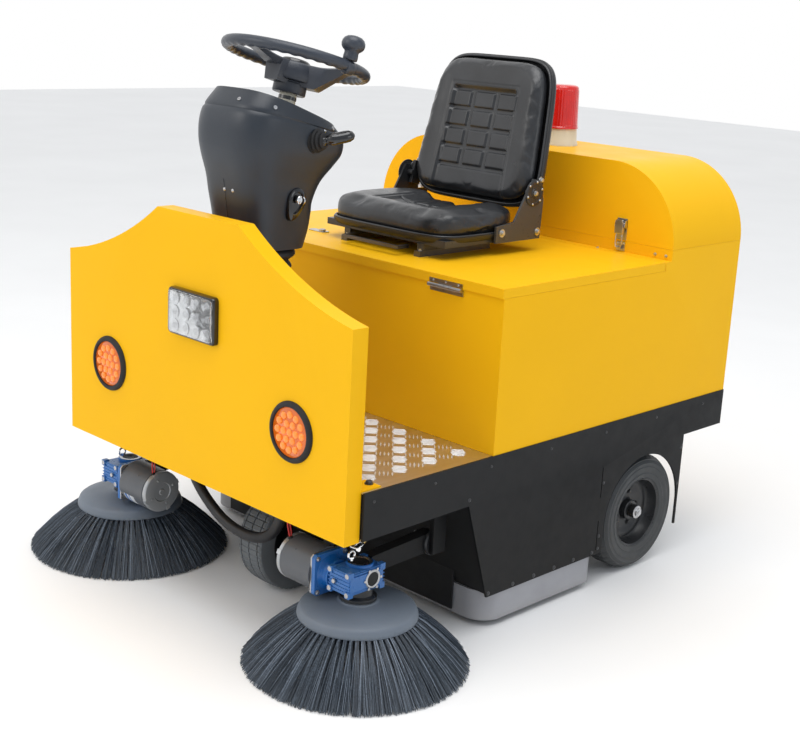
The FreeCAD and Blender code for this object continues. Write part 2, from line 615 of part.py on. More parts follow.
def make_side_brush(side, s):
    """One side brush: disc with bristles, reducer, motor and lifting arm."""
    disc = turned([(0, 128), (60, 118), (150, 60), (225, 0), ("brush_r", 0), ("brush_r - 1", 5),
                   ("cap_r + 5", 112), ("cap_r", "cap_high - 16"), (45, "cap_high - 2"), (40, "cap_high"),
                   (12.5, "cap_high"), (12.5, 190), (0, 190)])
    finish("side_brush_" + side, at(disc, "%d * brush_x" % s, "brush_y", 0))
    case = box(flip(s, 391, 69), 58, 172, 69, 107, "motor_z + 33 - 172")
    flange = cyl("z", "%d * brush_x" % s, "brush_y", "cap_high + 1", 41, 26)
    neck = box(flip(s, 366, 26), "motor_y - 30", "motor_z - 28", 26, 60, 56)
    square = box(flip(s, 353, 14), "motor_y - 47", "motor_z - 47", 14, 94, 94)
    boss = cyl("z", "%d * brush_x" % s, "brush_y", 226, 30, 8)
    bore = cyl("z", "%d * brush_x" % s, "brush_y", 100, 12.5 + RUNNING, 95)
    finish("reducer_" + side, cut(fuse(case, flange, neck, square, boss), bore))
    motor = fuse(cyl("x", flip(s, 257, 96), "motor_y", "motor_z", "motor_r", 96),
                 cyl("x", flip(s, 244, 13), "motor_y", "motor_z", "motor_r - 2", 13))
    finish("brush_motor_" + side, motor)
    side_view = [(165, 188), (330, "arm_pivot_z - 22"), ("arm_pivot_y", "arm_pivot_z - 24"),
                 ("arm_pivot_y", "arm_pivot_z + 24", 24), (330, "arm_pivot_z + 22"), (165, 228)]
    bar = pad("YZ", [side_view], flip(s, 387, 30), 30)
    eye = cyl("x", flip(s, 386, 32), "arm_pivot_y", "arm_pivot_z", "arm_pin_r + %s" % RUNNING, 32)
    finish("brush_arm_" + side, cut(bar, eye))


def make_main_brush():
    """Cylindrical main brush in its lifting carrier."""
    roll = fuse(cyl("x", -468, "main_y", "main_z", "main_r", 936),
                cyl("x", -483, "main_y", "main_z", 12, 966))
    finish("main_brush", roll)
    plates = []
    for _, s in SIDES:
        outline = [("main_y - 30", "main_z"), ("main_y + 14", "main_z - 28"),
                   ("carrier_y + 20", "carrier_z - 14"), ("carrier_y + 22", "carrier_z + 14"),
                   ("carrier_y - 6", "carrier_z + 26"), ("main_y - 20", "main_z + 20")]
        plates.append(pad("YZ", [outline, ("circle", "main_y", "main_z", 12 + RUNNING),
                                 ("circle", "carrier_y", "carrier_z", 8 + RUNNING)],
                          480 if s > 0 else -488, 8))
    tie = box(-484, 802, 282, 968, 12, 12)
    finish("main_brush_carrier", fuse(tie, *plates))


# ---------------------------------------------------------------- bin, batteries, fan

def make_inside():
    """Dust bin below the hopper, batteries under the lid and the suction fan in the hopper."""
    bin_box = pad("YZ", [rectangle(870, 104, 1190, 320)], -375, 750)
    pocket(bin_box, "YZ", [rectangle(860, 107, 1187, 330)], -372, 744)
    grip = [box(-70, 1190, 240, 12, 24, 12), box(58, 1190, 240, 12, 24, 12), box(-70, 1204, 240, 140, 10, 12)]
    finish("dust_bin", fuse(bin_box, *grip))
    cells = []
    for x in (-430, -205, 25, 250):
        case = box(x, 500, "rail_high", 180, 470, 240)
        posts = [cyl("z", x + offset, 540, "rail_high + 239", 9, 19) for offset in (35, 145)]
        cells.append(fuse(case, *posts))
    finish("batteries", group(*cells))
    scroll = cyl("x", 60, 1215, 560, 130, 160)
    inlet = cyl("x", 220, 1215, 560, 60, 40)
    foot = box(80, 1150, "rail_high + 4.2", 120, 130, 60)
    filter_case = box(-400, 1090, "rail_high + 4.2", 420, 250, 300)
    duct = box(10, 1190, 560, 60, 50, 60)
    finish("suction_fan", fuse(scroll, inlet, foot, duct, filter_case))


# ---------------------------------------------------------------- seat

def make_seat():
    """Sliding seat with a reclining back."""
    rails = [box("seat_x %+d" % shift, "rail_y", "lid_high", 20, "rail_length", 14) for shift in (-137, 116)]
    finish("seat_rails", group(*rails))
    runners = [box("seat_x %+d" % shift, "rail_y + 10", "lid_high + 14.4", 20, "rail_length - 10", 16)
               for shift in (-137, 116)]
    pan = box("seat_x - seat_half + 8", 552, "pan_high - 16", "2 * seat_half - 16", 330, 16)
    ears = []
    for _, s in SIDES:
        x = "seat_x + seat_half" if s > 0 else "seat_x - seat_half - 6"
        outline = [(715, "pan_high - 16"), (880, "pan_high - 16"), (885, 930), (866, 968), (834, 968),
                   (780, 880), (715, 872)]
        ears.append(pad("YZ", [outline], x, 6))
        inward = "seat_x + seat_half - 16" if s > 0 else "seat_x - seat_half - 4"
        ears.append(cyl("x", inward, "back_pivot_y", "back_pivot_z", "back_pin_r", 20))
        tab = "seat_x + seat_half - 20" if s > 0 else "seat_x - seat_half"
        ears.append(box(tab, 720, "pan_high - 16", 20, 150, 6))
    finish("seat_pan", fuse(pan, *runners, *ears))
    cushion = rounded(box("seat_x - seat_half + 4", 542, "pan_high + 0.4", "2 * seat_half - 8", 292, 58), 14)
    finish("seat_cushion", cushion)

    lean = ((1, 0, 0), "-back_lean")
    def on_back(item):
        return at(item, "seat_x", "back_pivot_y", "back_pivot_z", lean)

    shell = box("-seat_half + 3", 28, -36, "2 * seat_half - 6", 20, 362)
    cheeks = [box("seat_half - 13" if s > 0 else "-seat_half + 3", -22, -26, 10, 52, 66) for _, s in SIDES]
    eye = cyl("x", "-seat_half - 10", 0, 0, "back_pin_r + %s" % RUNNING, "2 * seat_half + 20")
    finish("backrest_shell", on_back(cut(fuse(shell, *cheeks), eye)))
    pad_box = rounded(box("-seat_half + 16", -8, -18, "2 * seat_half - 32", 35.6, 338), 12)
    finish("backrest_pad", on_back(joined("Compound", [pad_box])))

    arm = box("seat_x - seat_half - 12", 868, 882, 5, 60, 18)
    knob = cyl("x", "seat_x - seat_half - 14.4", 868, 890, 12, 8)
    finish("recline_lever", fuse(arm, knob))
    bars = [box("seat_x - 95", 505, 818, 8, 40, 8), box("seat_x + 87", 505, 818, 8, 40, 8),
            box("seat_x - 95", 505, 818, 190, 8, 8)]
    finish("slide_lever", fuse(*bars))


def make_latches():
    """Toggle latches that hold the hopper cover down, with their wire loops."""
    for side, s in SIDES:
        lever = box(flip(s, 340, 24), 1044, 850, 24, 3, 32)
        mount = cyl("x", flip(s, 338, 28), 1052, 872, 6, 28)
        web = box(flip(s, 342, 20), 1046, 869, 20, 8, 6)
        wires = [box(flip(s, x, 3), 1046, 823, 3, 3, 34) for x in (341, 360)]
        bar = box(flip(s, 341, 22), 1046, 823, 22, 3, 3)
        finish("latch_" + side, fuse(lever, mount, web, bar, *wires))


# ---------------------------------------------------------------- wiring

def rounded_path(points):
    """Straight runs joined by tangent arcs, each as large as 0.45 of the shorter run allows."""
    corners = []
    print("conduit arc radii, mm:", end=" ")
    for before, corner, after in zip(points, points[1:], points[2:]):
        into, out = corner - before, after - corner
        half = into.getAngle(out) / 2
        setback = 0.45 * min(into.Length, out.Length)
        radius = setback / math.tan(half)
        into.normalize()
        out.normalize()
        start, end = corner - into * setback, corner + out * setback
        inward = (out - into).normalize()
        middle = corner + inward * (radius / math.cos(half) - radius)
        corners.append((start, middle, end))
        print(round(radius), end=" ")
    print()
    edges = []
    last = points[0]
    for start, middle, end in corners:
        edges.append(Part.LineSegment(last, start).toShape())
        edges.append(Part.Arc(start, middle, end).toShape())
        last = end
    edges.append(Part.LineSegment(last, points[-1]).toShape())
    return Part.Wire(edges)


def make_conduit():
    """Wiring conduit that hangs in a shallow loop between two points of the front cross member."""
    radius = 12.5
    route = [(-118, 75, 379), (-117, 75, 340), (-106, 75, 300), (-80, 75, 268), (-38, 75, 236), (18, 75, 208),
             (80, 75, 198), (140, 75, 203), (186, 75, 226), (214, 75, 262), (226, 75, 310), (226.5, 75, 379)]
    path = rounded_path([V(*point) for point in route])
    ring = Part.Wire([Part.Circle(V(*route[0]), path.Edges[0].tangentAt(0), radius).toShape()])
    tube = path.makePipeShell([ring], True, False)
    ratio = tube.Volume / (math.pi * radius ** 2 * path.Length)
    print("conduit length %.0f mm, volume over section x length %.4f" % (path.Length, ratio))
    item = doc.addObject("Part::Feature", "conduit")
    item.Shape = tube
    at(item)
    finish("wiring_conduit", item)


make_frame()
make_side_plates()
make_deck()
make_front_panel()
make_body()
make_lid()
make_cover()
make_hinges()
make_chamber()
make_lamps()
make_steering()
make_cowl()
make_controls()
make_front_wheel()
make_rear_wheels()
for side, sign in SIDES:
    make_side_brush(side, sign)
make_main_brush()
make_inside()
make_seat()
make_latches()
make_conduit()
doc.recompute()

for item in doc.Objects:
    if "Invalid" in item.State or "Error" in item.State:
        raise ValueError("%s failed" % item.Name)
    if item in PARTS or item.isDerivedFrom("PartDesign::Body"):
        if item.Shape.isNull() or not item.Shape.isValid():
            raise ValueError("%s has no valid shape" % item.Label)

os.makedirs("parts", exist_ok=True)
for old in os.listdir("parts"):
    os.remove(os.path.join("parts", old))
for item in PARTS:
    item.Shape.exportStep("parts/%s.step" % item.Label)
print(len(PARTS), "parts")
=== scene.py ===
import math
import random

import bmesh
import bpy
from mathutils import Matrix, Vector, noise


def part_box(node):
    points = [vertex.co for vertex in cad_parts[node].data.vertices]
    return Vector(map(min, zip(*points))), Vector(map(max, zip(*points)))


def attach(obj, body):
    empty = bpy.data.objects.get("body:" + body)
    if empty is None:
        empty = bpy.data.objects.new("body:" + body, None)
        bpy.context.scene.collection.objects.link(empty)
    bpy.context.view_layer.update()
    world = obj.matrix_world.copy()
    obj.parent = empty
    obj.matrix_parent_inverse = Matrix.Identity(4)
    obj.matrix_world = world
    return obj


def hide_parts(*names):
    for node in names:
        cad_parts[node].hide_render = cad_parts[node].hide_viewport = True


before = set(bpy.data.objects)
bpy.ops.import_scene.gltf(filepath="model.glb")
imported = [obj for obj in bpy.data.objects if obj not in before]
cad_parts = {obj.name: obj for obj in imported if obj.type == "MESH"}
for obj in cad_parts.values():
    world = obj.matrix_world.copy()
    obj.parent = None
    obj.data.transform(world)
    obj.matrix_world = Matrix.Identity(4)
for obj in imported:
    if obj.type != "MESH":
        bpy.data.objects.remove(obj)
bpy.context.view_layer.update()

# Looks of a ride-on sweeper. Places are in millimetres from the front face of the front panel:
# +x is the machine's left, +y points to its rear and z = 0 is the floor. at() turns them into metres
# of the row frame.

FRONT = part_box("front_panel")[0][1]
MM = 0.001
TILT = math.radians(15.3)                 # the steering column leans back by this
WHEEL = (0, 268, 1246)                    # centre of the steering wheel
BRUSH = (424.7, 121)                      # axis of the left side brush
FORK = (22, 272)                          # steering axis of the drive wheel
DRIVE_R = 125                             # radius of the drive wheel
SHAFT = (91, 197)                         # y and z of the side brush motors' shafts
ARM_PIVOT = (351, 216)                    # y and z of the side brush arms' pivots
SEAT_X = 15
RECLINE = (847, 946)                      # y and z of the backrest's pivot
HEADLIGHT_Z = 700
BEACON = (0, 1225, 1026)                  # foot of the beacon
DECK_TOP = 426
SIDES = (("left", 1), ("right", -1))


def at(x, y, z):
    return Vector((x * MM, y * MM + FRONT, z * MM))


def frame_at(x, y, z, turn=None):
    """Matrix that takes millimetres about x, y, z to the row frame."""
    return Matrix.Translation(at(x, y, z)) @ (turn.to_4x4() if turn else Matrix()) @ Matrix.Scale(MM, 4)


def rot(degrees, axis):
    return Matrix.Rotation(math.radians(degrees), 3, axis)


WORLD = frame_at(0, 0, 0)
ALONG = {"x": rot(90, "Y"), "-x": rot(-90, "Y"), "y": rot(-90, "X"), "-y": rot(90, "X")}
OUTWARD = {1: ALONG["x"], -1: ALONG["-x"]}                    # by side of the machine
INWARD = {1: ALONG["-x"], -1: ALONG["x"]}
UPRIGHT = Matrix(((0, 0, 1), (1, 0, 0), (0, 1, 0)))           # outline in y and z, thickness along x
COLUMN = frame_at(*WHEEL, rot(-math.degrees(TILT), "X"))      # the steering wheel's own axes


def towards(way):
    """Rotation that takes the z axis to WAY."""
    return Vector((0, 0, 1)).rotation_difference(Vector(way)).to_matrix()


def around(count, radius, shift=0.0):
    """Points evenly round a circle, the first one SHIFT steps on from the first axis."""
    angles = [math.tau * (k + shift) / count for k in range(count)]
    return [(radius * math.cos(a), radius * math.sin(a)) for a in angles]


def smooth(t):
    """0 below 0, 1 above 1, and an S between them."""
    t = min(1.0, max(0.0, t))
    return t * t * (3 - 2 * t)


def superellipse(count, half_u, half_v, power):
    """Rounded rectangle: the higher POWER, the squarer its corners."""
    for i in range(count):
        a = math.tau * i / count
        yield (half_u * math.copysign(abs(math.cos(a)) ** (2 / power), math.cos(a)),
               half_v * math.copysign(abs(math.sin(a)) ** (2 / power), math.sin(a)))


def linked(name, data):
    """New object in the scene."""
    item = bpy.data.objects.new(name, data)
    bpy.context.scene.collection.objects.link(item)
    return item


# ---------------------------------------------------------------- materials

def nodes_of(name):
    """New material with its node tree, shader and texture coordinates."""
    mat = bpy.data.materials.new(name)
    mat.use_nodes = True
    tree = mat.node_tree
    shader = tree.nodes["Principled BSDF"]
    coords = tree.nodes.new("ShaderNodeTexCoord").outputs["Object"]
    return mat, tree, shader, coords


def noise_of(tree, coords, scale, detail=4.0, rough=0.55, stretch=None):
    tex = tree.nodes.new("ShaderNodeTexNoise")
    tex.inputs["Scale"].default_value = scale
    tex.inputs["Detail"].default_value = detail
    tex.inputs["Roughness"].default_value = rough
    if stretch:
        mapping = tree.nodes.new("ShaderNodeMapping")
        mapping.inputs["Scale"].default_value = stretch
        tree.links.new(coords, mapping.inputs["Vector"])
        coords = mapping.outputs["Vector"]
    tree.links.new(coords, tex.inputs["Vector"])
    return tex.outputs["Fac"]


def ramp(tree, value, stops):
    """Colour ramp from (position, grey or colour) stops."""
    node = tree.nodes.new("ShaderNodeValToRGB")
    elements = node.color_ramp.elements
    while len(elements) < len(stops):
        elements.new(0.5)
    for element, (position, color) in zip(elements, stops):
        element.position = position
        element.color = (*color, 1) if hasattr(color, "__len__") else (color, color, color, 1)
    tree.links.new(value, node.inputs["Fac"])
    return node.outputs["Color"]


def mixed(tree, factor, first, second):
    node = tree.nodes.new("ShaderNodeMix")
    node.data_type = "RGBA"
    for socket, value in ((node.inputs["Factor"], factor), (node.inputs["A"], first), (node.inputs["B"],
                                                                                       second)):
        if hasattr(value, "is_linked"):
            tree.links.new(value, socket)
        elif hasattr(value, "__len__"):
            socket.default_value = (*value, 1)
        else:
            socket.default_value = value
    return node.outputs["Result"]


def bumped(tree, shader, height, strength, distance=0.001, over=None):
    node = tree.nodes.new("ShaderNodeBump")
    node.inputs["Strength"].default_value = strength
    node.inputs["Distance"].default_value = distance
    tree.links.new(height, node.inputs["Height"])
    if over is not None:
        tree.links.new(over, node.inputs["Normal"])
    tree.links.new(node.outputs["Normal"], shader.inputs["Normal"])
    return node.outputs["Normal"]


def low_down(tree, coords, height, most):
    """0 above HEIGHT, rising to MOST at the floor."""
    split = tree.nodes.new("ShaderNodeSeparateXYZ")
    tree.links.new(coords, split.inputs[0])
    reach = tree.nodes.new("ShaderNodeMapRange")
    reach.inputs["From Min"].default_value = height
    reach.inputs["From Max"].default_value = 0.0
    reach.inputs["To Max"].default_value = most
    tree.links.new(split.outputs["Z"], reach.inputs["Value"])
    return reach.outputs["Result"]


def edge_wear_and_highlight(tree, color, edge, amount=0.35):
    """Lighter along sharp edges: wear where hands and feet rub, and a painted highlight where the edges catch
    the light.
    """
    geometry = tree.nodes.new("ShaderNodeNewGeometry")
    # painted edge highlight together with wear: convex edges mixed towards the lighter EDGE colour
    mask = ramp(tree, geometry.outputs["Pointiness"], [(0.52, 0.0), (0.62, amount)])
    return mixed(tree, mask, color, edge)


def surface(name, color, rough, metal=0.0, tone=(6.0, 0.10), gloss=(30.0, 0.08), bump=(600.0, 0.05), coat=0.0,
            edge=None, low_dust=None, specular=0.5):
    """General finish: colour that drifts, gloss that varies, a fine relief, wear and painted highlight on
    edges, dust low down.
    """
    mat, tree, shader, coords = nodes_of(name)
    drift = noise_of(tree, coords, tone[0], 5.0)
    dark = [channel * (1 - tone[1]) for channel in color]
    light = [min(1.0, channel * (1 + tone[1])) for channel in color]
    base = ramp(tree, drift, [(0.3, dark), (0.7, light)])
    # EDGE: lighter colour on convex edges, partly wear and partly painted highlight
    if edge:
        base = edge_wear_and_highlight(tree, base, edge)
    if low_dust:
        speck = noise_of(tree, coords, 45.0, 8.0, 0.7)
        amount = tree.nodes.new("ShaderNodeMath")
        amount.operation = "MULTIPLY"
        tree.links.new(low_down(tree, coords, low_dust[1], 0.55), amount.inputs[0])
        tree.links.new(speck, amount.inputs[1])
        base = mixed(tree, amount.outputs[0], base, low_dust[0])
    tree.links.new(base, shader.inputs["Base Color"])
    shine = noise_of(tree, coords, gloss[0], 6.0, 0.6)
    tree.links.new(ramp(tree, shine, [(0.3, max(0.02, rough - gloss[1])), (0.7, min(1.0, rough + gloss[1]))]),
                   shader.inputs["Roughness"])
    shader.inputs["Metallic"].default_value = metal
    shader.inputs["Specular IOR Level"].default_value = specular
    shader.inputs["Coat Weight"].default_value = coat
    shader.inputs["Coat Roughness"].default_value = 0.08
    bumped(tree, shader, noise_of(tree, coords, bump[0], 3.0), bump[1])
    return mat


def leather_material():
    """Black seat vinyl: pebbled grain over soft creases, with edges lighter from wear and a painted
    highlight.
    """
    mat, tree, shader, coords = nodes_of("leather")
    shade = noise_of(tree, coords, 9.0, 5.0)
    base = ramp(tree, shade, [(0.3, (0.010, 0.011, 0.013)), (0.7, (0.022, 0.024, 0.028))])
    # edges lighter: partly wear, partly painted highlight
    tree.links.new(edge_wear_and_highlight(tree, base, (0.05, 0.05, 0.055), 0.5), shader.inputs["Base Color"])
    cells = tree.nodes.new("ShaderNodeTexVoronoi")
    cells.feature = "DISTANCE_TO_EDGE"
    cells.inputs["Scale"].default_value = 520.0
    tree.links.new(coords, cells.inputs["Vector"])
    grain = ramp(tree, cells.outputs["Distance"], [(0.0, 0.0), (0.35, 1.0)])
    first = bumped(tree, shader, grain, 0.22, 0.0004)
    bumped(tree, shader, noise_of(tree, coords, 60.0, 6.0), 0.12, 0.002, over=first)
    gloss = noise_of(tree, coords, 22.0, 5.0)
    tree.links.new(ramp(tree, gloss, [(0.3, 0.27), (0.7, 0.42)]), shader.inputs["Roughness"])
    shader.inputs["Coat Weight"].default_value = 0.25
    shader.inputs["Coat Roughness"].default_value = 0.2
    return mat


def brushed_material(name, color, rough, stretch):
    """Rolled or brushed metal, with streaks along one way."""
    mat, tree, shader, coords = nodes_of(name)
    streak = noise_of(tree, coords, 40.0, 7.0, 0.7, stretch)
    base = ramp(tree, streak, [(0.25, [c * 0.82 for c in color]), (0.75, color)])
    tree.links.new(base, shader.inputs["Base Color"])
    tree.links.new(ramp(tree, streak, [(0.2, rough - 0.08), (0.8, rough + 0.12)]), shader.inputs["Roughness"])
    shader.inputs["Metallic"].default_value = 1.0
    bumped(tree, shader, streak, 0.10, 0.0004)
    return mat


def lens_material(name, color, rough, transmission, glow=0.0):
    """Tinted moulded lens, lit a little from inside so that it keeps its colour."""
    mat, tree, shader, coords = nodes_of(name)
    shade = noise_of(tree, coords, 25.0, 3.0)
    base = ramp(tree, shade, [(0.3, [c * 0.85 for c in color]), (0.7, color)])
    tree.links.new(base, shader.inputs["Base Color"])
    tree.links.new(base, shader.inputs["Emission Color"])
    shader.inputs["Emission Strength"].default_value = glow
    tree.links.new(ramp(tree, noise_of(tree, coords, 70.0), [(0.3, rough), (0.7, rough + 0.06)]),
                   shader.inputs["Roughness"])
    shader.inputs["Transmission Weight"].default_value = transmission
    shader.inputs["IOR"].default_value = 1.49
    shader.inputs["Coat Weight"].default_value = 0.6
    shader.inputs["Coat Roughness"].default_value = 0.05
    bumped(tree, shader, noise_of(tree, coords, 300.0, 2.0), 0.04)
    return mat


def bristle_material(name, dark, light):
    """Blue-black nylon filaments, uneven in shade and greyer towards the dusty tips."""
    mat, tree, shader, coords = nodes_of(name)
    tuft = noise_of(tree, coords, 260.0, 2.0, 0.5)
    base = ramp(tree, tuft, [(0.3, dark), (0.7, light)])
    dusty = mixed(tree, low_down(tree, coords, 0.045, 0.45), base, (0.10, 0.115, 0.135))
    tree.links.new(dusty, shader.inputs["Base Color"])
    tree.links.new(ramp(tree, tuft, [(0.3, 0.45), (0.7, 0.62)]), shader.inputs["Roughness"])
    shader.inputs["Specular IOR Level"].default_value = 0.35
    return mat


YELLOW = (0.88, 0.44, 0.0)
# EDGE colours below are lighter edges: partly wear, partly painted highlight
M = {
    "yellow": surface("yellow_paint", YELLOW, 0.34, tone=(2.5, 0.03), gloss=(14.0, 0.05), bump=(260.0, 0.035),
                      edge=(0.98, 0.60, 0.03), specular=0.05),
    "black": surface("black_paint", (0.0075, 0.008, 0.009), 0.46, bump=(380.0, 0.08), edge=(0.05, 0.05, 0.05),
                     low_dust=((0.04, 0.037, 0.033), 0.30), specular=0.09),
    "black_fine": surface("black_enamel", (0.020, 0.021, 0.023), 0.32, bump=(500.0, 0.05), edge=(0.12, 0.12,
                                                                                                 0.12)),
    "deck_bar": surface("raised_bars", (0.66, 0.66, 0.655), 0.48, metal=0.55, bump=(200.0, 0.08),
                        edge=(0.85, 0.85, 0.84)),
    "deck": brushed_material("chequer_aluminium", (0.74, 0.74, 0.73), 0.33, (1.0, 0.08, 1.0)),
    "zinc": brushed_material("zinc_plate", (0.66, 0.67, 0.68), 0.30, (0.2, 1.0, 1.0)),
    "steel": brushed_material("machined_steel", (0.56, 0.56, 0.57), 0.28, (1.0, 1.0, 0.1)),
    "steel_dark": brushed_material("dark_steel", (0.16, 0.16, 0.17), 0.36, (1.0, 1.0, 0.1)),
    "disc": surface("brush_disc", (0.135, 0.162, 0.200), 0.52, gloss=(25.0, 0.06), bump=(300.0, 0.12),
                    edge=(0.24, 0.27, 0.31)),
    "chrome": surface("chrome", (0.86, 0.87, 0.88), 0.08, metal=1.0, tone=(5.0, 0.03), gloss=(60.0, 0.03),
                      bump=(200.0, 0.02)),
    "blue": surface("blue_casting", (0.004, 0.115, 0.41), 0.32, gloss=(60.0, 0.10), bump=(420.0, 0.22),
                    coat=0.15, edge=(0.22, 0.38, 0.60), specular=0.35),
    "motor": surface("motor_body", (0.047, 0.057, 0.070), 0.40, bump=(350.0, 0.10), edge=(0.25, 0.25, 0.26)),
    "motor_cap": surface("cast_aluminium", (0.46, 0.48, 0.50), 0.42, metal=0.7, bump=(420.0, 0.18),
                         edge=(0.8, 0.8, 0.8)),
    "cream": surface("cream_paint", (0.66, 0.62, 0.50), 0.35, bump=(420.0, 0.05), coat=0.2),
    # black plastic; its blue tint is a painted reflection, the bluish sheen of the glossy shell put into its
    # colour
    "cowl": surface("cowl_plastic", (0.021, 0.027, 0.037), 0.38, tone=(4.0, 0.18), gloss=(18.0, 0.06),
                    bump=(900.0, 0.13), edge=(0.07, 0.07, 0.08)),
    "wheel_plastic": surface("wheel_plastic", (0.031, 0.038, 0.052), 0.36, tone=(5.0, 0.15),
                             gloss=(20.0, 0.07), bump=(1000.0, 0.12), edge=(0.09, 0.09, 0.10)),
    "gloss_black": surface("gloss_black", (0.008, 0.008, 0.009), 0.12, gloss=(30.0, 0.05), bump=(300.0, 0.02),
                           coat=0.5),
    "amber": lens_material("amber_lens", (0.72, 0.14, 0.006), 0.10, 0.15, 0.26),
    "amber_cell": lens_material("amber_cell", (0.88, 0.24, 0.015), 0.14, 0.10, 0.38),
    "clear": lens_material("clear_lens", (0.96, 0.97, 0.98), 0.05, 0.92),
    "led": lens_material("led_dome", (0.93, 0.94, 0.96), 0.12, 0.55, 0.10),
    "red": lens_material("red_lens", (0.62, 0.015, 0.010), 0.10, 0.25, 0.24),
    "leather": leather_material(),
    "shell": surface("seat_shell", (0.016, 0.017, 0.019), 0.38, bump=(800.0, 0.12), edge=(0.06, 0.06, 0.065)),
    "rubber": surface("black_rubber", (0.017, 0.017, 0.018), 0.62, bump=(500.0, 0.16), specular=0.35),
    "skirt": surface("grey_rubber", (0.33, 0.33, 0.35), 0.66, bump=(200.0, 0.15),
                     low_dust=((0.45, 0.42, 0.38), 0.05)),
    "tyre": surface("tyre_rubber", (0.030, 0.034, 0.038), 0.52, bump=(320.0, 0.14), edge=(0.09, 0.10, 0.11),
                    low_dust=((0.12, 0.115, 0.105), 0.30), specular=0.4),
    "tread": surface("tread_rubber", (0.125, 0.138, 0.150), 0.70, bump=(260.0, 0.22),
                     low_dust=((0.16, 0.16, 0.155), 0.22), specular=0.3),
    "bristle": bristle_material("bristles", (0.026, 0.034, 0.045), (0.085, 0.108, 0.140)),
    "bristle_dark": bristle_material("bristles_dark", (0.010, 0.014, 0.020), (0.035, 0.045, 0.060)),
    "bristle_light": bristle_material("bristles_light", (0.11, 0.135, 0.17), (0.21, 0.25, 0.31)),
    "conduit": surface("conduit", (0.014, 0.014, 0.016), 0.45, bump=(500.0, 0.08)),
    "red_wire": surface("red_wire", (0.55, 0.02, 0.015), 0.38, bump=(700.0, 0.05)),
    "brass": brushed_material("brass", (0.72, 0.52, 0.20), 0.28, (1.0, 1.0, 0.2)),
    "battery": surface("battery_case", (0.06, 0.065, 0.075), 0.50, bump=(500.0, 0.14)),
    "fan": surface("fan_paint", (0.28, 0.29, 0.31), 0.45, bump=(420.0, 0.08)),
    "label_white": surface("label_white", (0.72, 0.74, 0.76), 0.35, bump=(100.0, 0.02)),
    "label_blue": surface("label_blue", (0.02, 0.14, 0.50), 0.35, bump=(100.0, 0.02)),
}


# ---------------------------------------------------------------- mesh building

